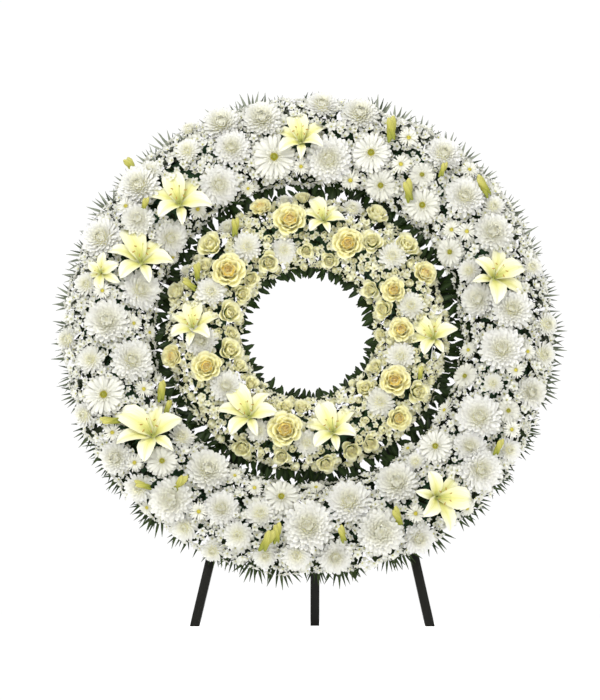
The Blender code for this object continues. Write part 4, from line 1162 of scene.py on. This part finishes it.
fan = patternObject("fan", bpy.data.meshes.new("fan"))
growRow(fan, fanForm, finishes["fringeLeaf"])
fan.data = plainMesh(fan)
petals["fan"] = fan
for name, nodes in (("outerFringe", nodesOf("outer_fringe", 4)),
                    ("outerGapLeaves", nodesOf("outer_gap_leaves", 4)),
                    ("innerGapLeaves", nodesOf("inner_gap_leaves", 4)),
                    ("holeLeaves", nodesOf("hole_leaves", 8))):
    finish = finishes["fringeLeaf" if name == "outerFringe" else "darkLeaf"]
    thing = patternObject(name + "Row", bpy.data.meshes.new(name))
    for row in leafRows[name]:
        growRow(thing, row, finish)
    finishPiece(name, plainMesh(thing), nodes)
print("leaf rows grown")


# trays and hoops, turned smooth; the trays have rounded edges and two shallow grooves behind
baseForm = {"steps": 144, "gap": 0.0003, "wall": 0.002, "depth": 0.015, "edge": 0.003,
            "groove": 0.0016, "grooveDepth": 0.0009, "hoopWidth": 0.024, "hoopThick": 0.004,
            "hoopEdge": 0.0006}


def turnedRing(name, node, profile, finish):
    steps = baseForm["steps"]
    points = [aroundMiddle(radius, step * math.tau / steps, height)
              for step in range(steps) for radius, height in profile]
    size = len(profile)
    faces = [(step * size + row, (step + 1) % steps * size + row,
              (step + 1) % steps * size + (row + 1) % size, step * size + (row + 1) % size)
             for step in range(steps) for row in range(size)]
    mesh = meshFrom(name, points, faces=faces)
    turnOutwards(mesh)
    smoothUnder(mesh, 35)
    mesh.materials.append(finishes[finish])
    finishPiece(name, mesh, [node])


def trayProfile(ring):
    inside = ring["halfWidth"] + baseForm["gap"]
    outside = inside + baseForm["wall"]
    edge = baseForm["edge"]
    back = [(outside, baseForm["depth"]), (outside, edge), (outside - 0.3 * edge, 0.3 * edge),
            (outside - edge, 0.0)]
    for offset in (0.6 * inside, -0.6 * inside):
        back += [(offset + baseForm["groove"], 0.0), (offset, baseForm["grooveDepth"]),
                 (offset - baseForm["groove"], 0.0)]
    back += [(edge - outside, 0.0), (0.3 * edge - outside, 0.3 * edge), (-outside, edge),
             (-outside, baseForm["depth"])]
    front = [(-inside, baseForm["depth"]), (-inside, baseForm["wall"]),
             (inside, baseForm["wall"]), (inside, baseForm["depth"])]
    return [(ring["radius"] + offset, height) for offset, height in back + front]


def hoopProfile(ring):
    half = baseForm["hoopWidth"] / 2
    top = -baseForm["gap"]
    bottom = top - baseForm["hoopThick"]
    edge = baseForm["hoopEdge"]
    corners = [(half, top - edge), (half, bottom + edge), (half - edge, bottom),
               (edge - half, bottom), (-half, bottom + edge), (-half, top - edge),
               (edge - half, top), (half - edge, top)]
    return [(ring["radius"] + offset, height) for offset, height in corners]


turnedRing("outerTray", "outer_tray", trayProfile(outerRing), "trayPlastic")
turnedRing("innerTray", "inner_tray", trayProfile(innerRing), "trayPlastic")
turnedRing("outerHoop", "outer_hoop", hoopProfile(outerRing), "blackPaint")
turnedRing("innerHoop", "inner_hoop", hoopProfile(innerRing), "blackPaint")

# cable ties that hold the trays to the hoops, in degrees round each ring
tieForm = {"width": 0.0045, "thick": 0.0012, "intoTray": 0.0010, "headFrom": 0.004,
           "headLong": 0.0070, "headWide": 0.0060, "headThick": 0.0042, "tailFrom": 0.0065,
           "tailLong": 0.0040, "outer": (-5, 40, 68, 112, 140, 185, 202, 222, -42, -22),
           "inner": (0, 56, 124, 180, 215, -35)}


def boxInto(points, faces, low, high):
    start = len(points)
    points += [(x, y, z) for z in (low[2], high[2]) for y in (low[1], high[1])
               for x in (low[0], high[0])]
    faces += [tuple(start + corner for corner in face) for face in
              ((0, 2, 3, 1), (4, 5, 7, 6), (0, 1, 5, 4), (2, 6, 7, 3), (0, 4, 6, 2), (1, 3, 7, 5))]


def makeTie():
    # X runs across the hoop; the hoop's back face lies at Z = 0 and the tray beyond it
    half = baseForm["hoopWidth"] / 2
    side = tieForm["width"] / 2
    thick = tieForm["thick"]
    deep = baseForm["hoopThick"] + baseForm["gap"] + tieForm["intoTray"]
    headWide = tieForm["headWide"] / 2
    headBack = -thick - tieForm["headThick"]
    points = []
    faces = []
    boxInto(points, faces, (-half - thick, -side, -thick), (half + thick, side, 0.0))
    boxInto(points, faces, (-half - thick, -side, 0.0), (-half, side, deep))
    boxInto(points, faces, (half, -side, 0.0), (half + thick, side, deep))
    boxInto(points, faces, (tieForm["headFrom"], -headWide, headBack),
            (tieForm["headFrom"] + tieForm["headLong"], headWide, -thick))
    boxInto(points, faces, (tieForm["tailFrom"], -side * 0.8, headBack - tieForm["tailLong"]),
            (tieForm["tailFrom"] + thick, side * 0.8, headBack))
    return meshFrom("tie", points, faces=faces)


def placedCopies(name, pattern, spots, finish):
    home = newHome(name)
    patternObject(name + "Form", pattern, home)
    places, turns, sizes = zip(*spots)
    copyForms(name, home, places, turns, {"size": sizes, "pick": [0] * len(sizes)}, finish)


backFace = -baseForm["gap"] - baseForm["hoopThick"]
ties = []
for ring, turns in ((outerRing, tieForm["outer"]), (innerRing, tieForm["inner"])):
    for degrees in turns:
        turn = math.radians(degrees)
        ties.append((aroundMiddle(ring["radius"], turn, backFace), (0.0, 0.0, turn), 1.0))
placedCopies("cableTies", makeTie(), ties, "tieNylon")

# weld beads: rows of small overlapping blobs along each seam of the stand, from end to end
weldForm = {"step": 0.0028, "size": 0.0026, "clear": 0.0006, "tube": 0.020, "spokeWide": 0.020,
            "spokeSeam": (-0.009, 0.005), "hoopHeights": (-0.196, -0.393),
            "hoopSeam": (-0.009, 0.007), "barHeights": (-0.202, -0.440), "barInset": 0.0002,
            "barSeam": (-0.009, 0.009), "bracketClear": 0.0008, "bracketSeam": (-0.211, -0.193)}
legForm = {"left": (-0.246, 0.230), "right": (0.264, -0.216), "down": 0.6426}
hingeForm = {"x": 0.016, "half": 0.0136}
tubeBack = -(2 * baseForm["gap"] + baseForm["hoopThick"] + weldForm["tube"])


def legMiddle(side, height):
    foot, slope = legForm[side]
    return foot + slope * (legForm["down"] + height)


def findSeams():
    seams = []
    clear = weldForm["clear"]
    seamBack = backFace - clear
    for degrees in (22.5, 90.0, 157.5):
        turn = math.radians(degrees)
        out = aroundMiddle(1.0, turn, 0.0)
        across = Vector((-math.sin(turn), math.cos(turn), 0.0))
        across *= weldForm["spokeWide"] / 2 + clear
        for radius in (innerRing["radius"], outerRing["radius"]):
            for edge in (-1, 1):
                middle = out * radius + across * edge + Vector((0.0, 0.0, seamBack))
                seams.append([middle + out * end for end in weldForm["spokeSeam"]])
    for side, facing in (("left", 1), ("right", -1)):
        reach = weldForm["tube"] / 2 * math.hypot(1.0, legForm[side][1])
        for height in weldForm["hoopHeights"]:
            for edge in (-1, 1):
                seams.append([Vector((legMiddle(side, height + end) + edge * (reach + clear),
                                      height + end, seamBack)) for end in weldForm["hoopSeam"]])
        for height in weldForm["barHeights"]:
            for depth in (tubeBack - weldForm["barInset"], seamBack):
                seams.append([Vector((legMiddle(side, height + end) + facing * reach,
                                      height + end, depth)) for end in weldForm["barSeam"]])
    for edge in (-1, 1):
        beside = hingeForm["x"] + edge * (hingeForm["half"] + weldForm["bracketClear"])
        seams.append([Vector((beside, height, tubeBack - weldForm["bracketClear"]))
                      for height in weldForm["bracketSeam"]])
    return seams


blobs = []
drawBlob = random.Random(31)
for low, high in findSeams():
    count = max(int((high - low).length / weldForm["step"]), 2)
    for number in range(count + 1):
        place = low.lerp(high, number / count)
        blobs.append((place, [drawBlob.uniform(0.0, math.tau) for _ in range(3)],
                      weldForm["size"] * drawBlob.uniform(0.85, 1.15)))
blobForm = spindle("weldBlob", [(-0.8, 0.0), (-0.55, 0.62), (0.0, 0.88), (0.55, 0.62),
                                (0.8, 0.0)], 7)
placedCopies("weldBeads", blobForm.data, blobs, "blackPaint")
print("trays, hoops, ties and welds made")

# stand: the tubes get rounded corners, and the rest keeps its own form
standForm = {"cornerRadius": 0.0022, "cornerSteps": 3}


def roundedCopy(name, node, body):
    mesh = frame["nodes"][node].data.copy()
    form = bmesh.new()
    form.from_mesh(mesh)
    bmesh.ops.remove_doubles(form, verts=form.verts, dist=0.00002)
    bmesh.ops.dissolve_limit(form, angle_limit=math.radians(1.0), verts=form.verts,
                             edges=form.edges)
    sharp = [edge for edge in form.edges
             if len(edge.link_faces) == 2 and edge.calc_face_angle() > math.radians(40)]
    bmesh.ops.bevel(form, geom=sharp, offset=standForm["cornerRadius"], offset_type="OFFSET",
                    segments=standForm["cornerSteps"], profile=0.5, affect="EDGES",
                    clamp_overlap=True)
    form.to_mesh(mesh)
    form.free()
    smoothUnder(mesh, 35)
    mesh.materials.clear()
    mesh.materials.append(finishes["blackPaint"])
    finishPiece(name, mesh, [node], body, turned=False)


roundedCopy("leftLeg", "leg_left", "root")
roundedCopy("rightLeg", "leg_right", "root")
roundedCopy("upperCrossbar", "crossbar_upper", "root")
roundedCopy("lowerCrossbar", "crossbar_lower", "root")
for node, finish in (("rear_leg", "blackPaint"), ("hinge_bracket", "blackPaint"),
                     ("hinge_pin", "pinSteel"), ("spoke_top", "blackPaint"),
                     ("spoke_left", "blackPaint"), ("spoke_right", "blackPaint"),
                     ("outer_foam", "wetFoam"), ("inner_foam", "wetFoam")):
    for socket in frame["nodes"][node].material_slots:
        socket.material = finishes[finish]
print("stand dressed")

for thing in list(patternHome.all_objects):
    bpy.data.objects.remove(thing)
for home in list(patternHome.children):
    bpy.data.collections.remove(home)
bpy.data.collections.remove(patternHome)

# studio: a round pale floor, white air round it, soft light, and the photograph's camera
studio = {"floorRadius": 40.0, "paint": (0.92, 0.92, 0.92), "glow": 0.52, "skyLight": 0.54,
          "skySeen": 1.02}


def makeFloor():
    mesh = bpy.data.meshes.new("floor")
    form = bmesh.new()
    bmesh.ops.create_circle(form, cap_ends=True, segments=96, radius=studio["floorRadius"])
    form.to_mesh(mesh)
    form.free()
    paint, tree, shader = newFinish("floorPaint", 0.9)
    shader.inputs["Base Color"].default_value = (*studio["paint"], 1.0)
    shader.inputs["Specular IOR Level"].default_value = 0.1
    shader.inputs["Emission Color"].default_value = (1.0, 1.0, 1.0, 1.0)
    shader.inputs["Emission Strength"].default_value = studio["glow"]
    mesh.materials.append(paint)
    floor = bpy.data.objects.new("floor", mesh)
    bpy.context.scene.collection.objects.link(floor)


def makeSky():
    # the air looks whiter than the light that it gives
    world = bpy.data.worlds.new("studioWorld")
    world.use_nodes = True
    seen = addNode(world.node_tree, "ShaderNodeLightPath").outputs["Is Camera Ray"]
    strength = between(world.node_tree, seen, studio["skyLight"], studio["skySeen"])
    sky = world.node_tree.nodes["Background"].inputs
    sky["Color"].default_value = (1.0, 1.0, 1.0, 1.0)
    world.node_tree.links.new(strength, sky["Strength"])
    bpy.context.scene.world = world


def addLight(name, place, target, size, power):
    light = bpy.data.lights.new(name, "AREA")
    light.shape = "RECTANGLE"
    light.size, light.size_y = size
    light.energy = power
    made = bpy.data.objects.new(name, light)
    made.location = place
    made.rotation_euler = (Vector(target) - Vector(place)).to_track_quat("-Z", "Y").to_euler()
    bpy.context.scene.collection.objects.link(made)


def makeCamera():
    pitch = math.radians(photoView["pitch"])
    forward = Vector((0.0, math.cos(pitch), math.sin(pitch)))
    up = Vector((0.0, -math.sin(pitch), math.cos(pitch)))
    middle = Vector((0.0, wreathPlane["depth"], wreathPlane["height"]))
    lens = bpy.data.cameras.new("photoCamera")
    lens.sensor_width = 36.0
    # 700 pixels across the sensor's long side
    lens.lens = 36.0 * photoView["distance"] / (700 * photoView["metresPerPixel"])
    camera = bpy.data.objects.new("photoCamera", lens)
    # the frame's middle lies at pixel (300, 350)
    camera.location = (middle - forward * photoView["distance"]
                       + Vector((300 - photoView["middle"][0], 0.0, 0.0))
                       * photoView["metresPerPixel"]
                       + up * (photoView["middle"][1] - 350) * photoView["metresPerPixel"])
    camera.rotation_euler = (-forward).to_track_quat("Z", "Y").to_euler()
    bpy.context.scene.collection.objects.link(camera)
    bpy.context.scene.camera = camera


makeFloor()
makeSky()
addLight("keyLight", (-1.6, -3.4, 3.0), (0.0, 0.0, 0.65), (2.2, 2.2), 122.0)
addLight("fillLight", (2.8, -3.0, 1.2), (0.0, 0.0, 0.6), (2.4, 2.4), 42.0)
addLight("topLight", (0.0, 0.4, 3.6), (0.0, 0.0, 0.6), (3.0, 3.0), 50.0)
bpy.context.scene.view_settings.view_transform = "Standard"
makeCamera()
print("studio set")
